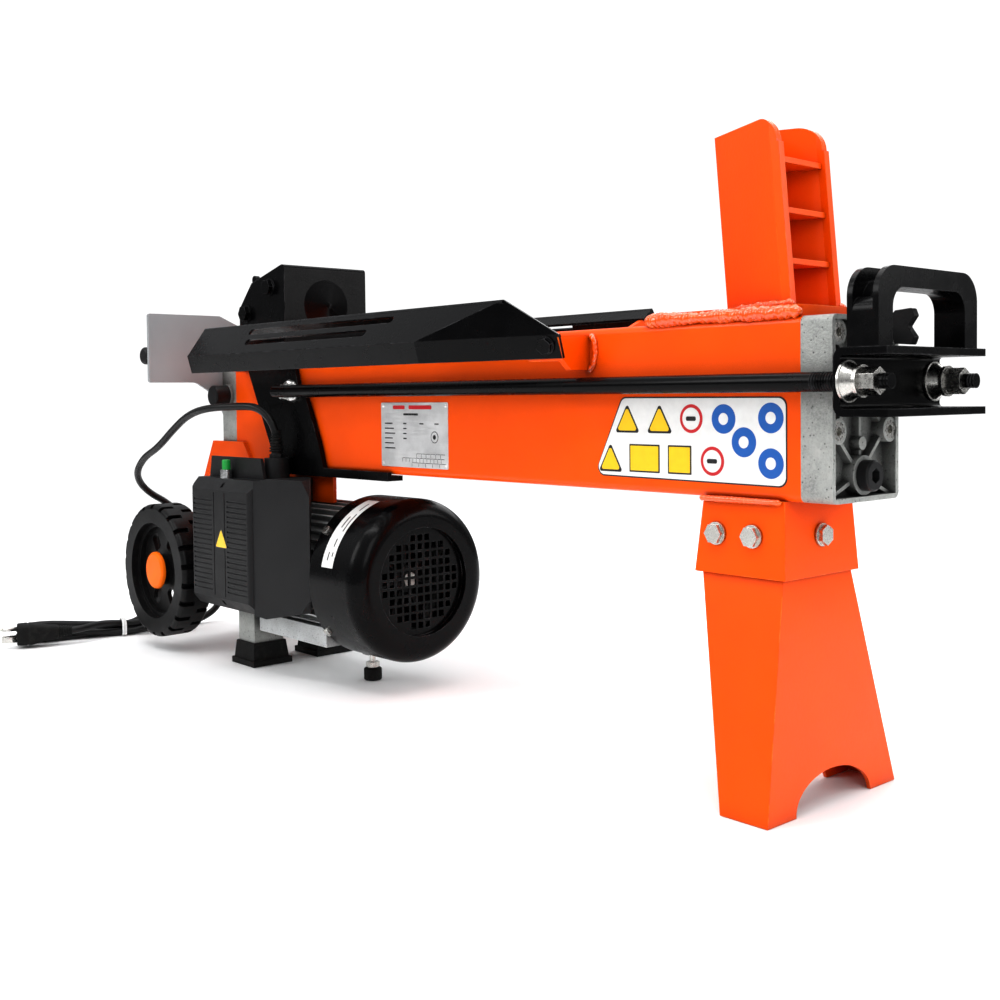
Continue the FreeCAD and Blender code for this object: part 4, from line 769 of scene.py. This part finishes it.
def make_safety_panel():
    """White panel of plain coloured shapes on the beam's side."""
    bm = bmesh.new()
    white, yellow, red, blue, black = range(5)
    film = 0.25

    def layer(outline, level, finish):
        sticker(bm, outline, BEAM_SIDE - film * level * 0.8, film, finish)

    panel = [(-213, 222.5), (-36, 221), (-36, 280.5), (-184, 281)]
    layer(rounded([(x + dx, z + dz) for (x, z), (dx, dz) in zip(panel, PANEL_BORDER)], 6.5), 0, black)
    layer(rounded(panel, 6), 1, white)
    upper, lower, icon = 266.0, 236.0, 10.4
    for x, z in ((-179, upper), (-147, upper), (-196.5, lower)):
        layer(triangle(x, z, 25, 22), 2, black)
        layer(triangle(x, z - 0.4, 20.5, 18), 3, yellow)
    for x, width in ((-162, 30), (-128, 22)):
        layer(rectangle(x, lower, width, 21), 2, black)
        layer(rectangle(x, lower, width - 2.4, 18.6), 3, yellow)
    for x, z in ((-117, upper), (-98, lower)):
        layer(disc(x, z, icon), 2, red)
        layer(disc(x, z, icon - 2.4), 3, white)
        layer(rectangle(x, z, 9, 3.2, 1.2), 4, black)
    for x, z in ((-88, upper), (-48, upper + 1), (-70.5, 250), (-48, lower)):
        layer(disc(x, z, icon), 2, blue)
        layer(disc(x, z, 4.2), 3, white)
    finishes = [FINISHES[n] for n in ("white_film", "yellow_film", "red_film", "blue_film", "black_film")]
    finish_piece("safety_panel", mesh_of(bm, "safety_panel"), "machine", finishes, False)


def make_rating_plate():
    """Aluminium plate with rows of plain bars, held by four rivets."""
    bm = bmesh.new()
    metal, black, red = range(3)
    left, right, low, high = -494, -394, 218.5, 278.5
    thickness = 0.6
    middle = (left + right) / 2
    sticker(bm, rectangle(middle, (low + high) / 2, right - left, high - low, 1.5), BEAM_SIDE,
            thickness, metal)
    top = BEAM_SIDE - thickness * 0.9

    def bar(x, z, width, height, finish=black):
        sticker(bm, rectangle(x, z, width, height, min(width, height) * 0.3), top, 0.18, finish)

    for x, width in ((-466, 18), (-434, 34)):
        bar(x, 274, width, 3.6, red)
    bar(-448, 267.5, 22, 2.0)
    for row in range(6):
        z = 259 - row * 4.6
        bar(-482 + (row % 3), z, 12 + 2 * (row % 3), 1.2)
        if row < 4:
            bar(-457, z, 5, 1.2)
    for x in (-432, -410):
        bar(x, 259, 6, 1.2)
    for row, (count, width) in enumerate(((6, 6.4), (12, 4.6), (5, 9.5))):
        z = 231.5 - row * 4.2
        for i in range(count):
            bar(-401.5 - i * (width + 0.6), z, width, 0.5)
            bar(-401.5 - i * (width + 0.6) - width / 2, z - 2, 0.4, 3.4)
    sticker(bm, disc(-413, 247, 5.4), top, 0.18, black)
    sticker(bm, disc(-413, 247, 4.6), top - 0.1, 0.18, metal)
    sticker(bm, disc(-413, 247, 2.2), top - 0.2, 0.18, black)
    for x in (left + 3.2, right - 3.2):
        for z in (low + 3.2, high - 3.2):
            lathe(bm, place(x, BEAM_SIDE - thickness, z), Vector((0, -1, 0)),
                  [(-0.3, 1.5), (0.3, 1.5), (0.8, 1.1), (1.0, 0.4)], 20)
    finishes = [FINISHES[n] for n in ("plate_metal", "black_film", "red_film")]
    finish_piece("rating_plate", mesh_of(bm, "rating_plate"), "machine", finishes, False)


def make_motor_label():
    """Curved pale label round the shoulder of the fan cover."""
    low, high = box_mm("fan_cover")
    axis_y, axis_z = (low.y + high.y) / 2, (low.z + high.z) / 2
    radius = (high.y - low.y) / 2
    bm = bmesh.new()

    def strip(x0, x1, start, end, level, finish, steps=48):
        rings = []
        for i in range(steps + 1):
            angle = math.radians(start + (end - start) * i / steps)
            ring = []
            for x, r in ((x0, level), (x0, level + 0.25), (x0 + 0.3, level + 0.32),
                         (x1 - 0.3, level + 0.32), (x1, level + 0.25), (x1, level)):
                ring.append(bm.verts.new(place(x, axis_y + (radius + r) * math.cos(angle),
                                               axis_z + (radius + r) * math.sin(angle))))
            rings.append(ring)
        first = len(bm.faces)
        skin(bm, rings)
        bm.faces.ensure_lookup_table()
        for face in bm.faces[first:]:
            face.material_index = finish

    strip(-529, -510.5, 106, 168, -0.1, 0)
    for start, end, x in ((112, 121, -517), (125, 141, -515), (128, 138, -521), (147, 153, -517),
                          (157, 163, -521), (157, 160, -515)):
        strip(x - 0.7, x + 0.7, start, end, 0.15, 1, 12)
    finish_piece("motor_label", mesh_of(bm, "motor_label"), "machine",
                 [FINISHES["white_film"], FINISHES["black_film"]], False)


def make_cover_mark():
    """Small plain yellow mark on the switch cover."""
    bm = bmesh.new()
    face = box_mm("switch_cover")[0].y
    sticker(bm, triangle(-692, 139, 26, 21, 1.4), face, 0.22, 1)
    sticker(bm, triangle(-692, 138.6, 23.5, 18.6, 1.2), face - 0.18, 0.22, 0)
    finish_piece("cover_mark", mesh_of(bm, "cover_mark"), "machine",
                 [FINISHES["yellow_film"], FINISHES["black_film"]], False)


make_safety_panel()
make_rating_plate()
make_motor_label()
make_cover_mark()


# ---------------------------------------------------------------- floor and light

def make_floor():
    bm = bmesh.new()
    rings = []
    for radius in (0.02, 0.5, 1.5, 4.0, 9.0):
        ring = []
        for i in range(96):
            angle = 2 * math.pi * i / 96
            ring.append(bm.verts.new((radius * math.cos(angle), radius * math.sin(angle), -0.0004)))
        rings.append(ring)
    skin(bm, rings, capped=False)
    bm.faces.new(rings[0])
    mesh = mesh_of(bm, "floor")
    floor = bpy.data.objects.new("floor", mesh)
    bpy.context.scene.collection.objects.link(floor)
    paper = Shader("studio_paper")
    mottle = paper.ramp(paper.noise(3.0, 3.0), 0.3, 0.7)
    paper.colour(paper.mix(mottle, (0.92, 0.92, 0.92, 1), (0.95, 0.95, 0.95, 1)))
    paper.rough(paper.ramp(paper.noise(40.0), 0.3, 0.7, 0.55, 0.7))
    paper.constants(specular=0.25)
    distance = paper.tree.nodes.new("ShaderNodeVectorMath")
    distance.operation = "LENGTH"
    paper.link(paper.where, distance.inputs[0])
    faded = paper.ramp(distance.outputs["Value"], 1.3, 3.2, 1.0, 0.0)
    paper.link(faded, paper.main.inputs["Alpha"])
    mesh.materials.append(paper.material)


def area_light(name, at, towards, size, power, colour=(1.0, 1.0, 1.0)):
    data = bpy.data.lights.new(name, "AREA")
    data.shape = "RECTANGLE"
    data.size, data.size_y = size
    data.energy = power
    data.color = colour
    light = bpy.data.objects.new(name, data)
    bpy.context.scene.collection.objects.link(light)
    light.location = at
    light.rotation_mode = "QUATERNION"
    light.rotation_quaternion = (Vector(towards) - Vector(at)).to_track_quat("-Z", "Y")


def make_world():
    world = bpy.data.worlds.new("studio")
    world.use_nodes = True
    bpy.context.scene.world = world
    tree = world.node_tree
    seen = tree.nodes["Background"]
    seen.inputs["Color"].default_value = (1.0, 1.0, 1.0, 1.0)
    seen.inputs["Strength"].default_value = 1.0
    fill = tree.nodes.new("ShaderNodeBackground")
    fill.inputs["Color"].default_value = (0.97, 0.98, 1.0, 1.0)
    sky = tree.nodes.new("ShaderNodeTexCoord")
    split = tree.nodes.new("ShaderNodeSeparateXYZ")
    height = tree.nodes.new("ShaderNodeMapRange")
    tree.links.new(sky.outputs["Generated"], split.inputs[0])
    tree.links.new(split.outputs["Z"], height.inputs["Value"])
    for key, number in (("From Min", 0.0), ("From Max", 0.55), ("To Min", 0.16), ("To Max", 0.75)):
        height.inputs[key].default_value = number
    tree.links.new(height.outputs["Result"], fill.inputs["Strength"])
    rays = tree.nodes.new("ShaderNodeLightPath")
    mix = tree.nodes.new("ShaderNodeMixShader")
    tree.links.new(rays.outputs["Is Camera Ray"], mix.inputs[0])
    tree.links.new(fill.outputs[0], mix.inputs[1])
    tree.links.new(seen.outputs[0], mix.inputs[2])
    tree.links.new(mix.outputs[0], tree.nodes["World Output"].inputs["Surface"])


def make_lights():
    middle = (0.0, 0.0, 0.25)
    area_light("overhead", (0.1, 0.1, 2.4), middle, (3.0, 2.2), 44.0)
    area_light("front_left", (-1.3, -2.4, 1.7), middle, (1.2, 1.2), 26.0)
    area_light("front_right", (2.6, -1.2, 1.5), middle, (1.0, 1.6), 14.0)
    area_light("back_right", (2.4, 1.9, 1.2), middle, (1.3, 1.3), 18.0)
    area_light("strip", (0.2, -0.9, 1.9), middle, (2.4, 0.14), 9.0)
    area_light("behind", (-0.6, 2.4, 1.6), middle, (2.4, 1.2), 22.0)


make_floor()
make_world()
make_lights()
bpy.context.scene.view_settings.view_transform = "Standard"
bpy.context.scene.view_settings.gamma = 0.85
bpy.context.scene.view_settings.exposure = 0.12
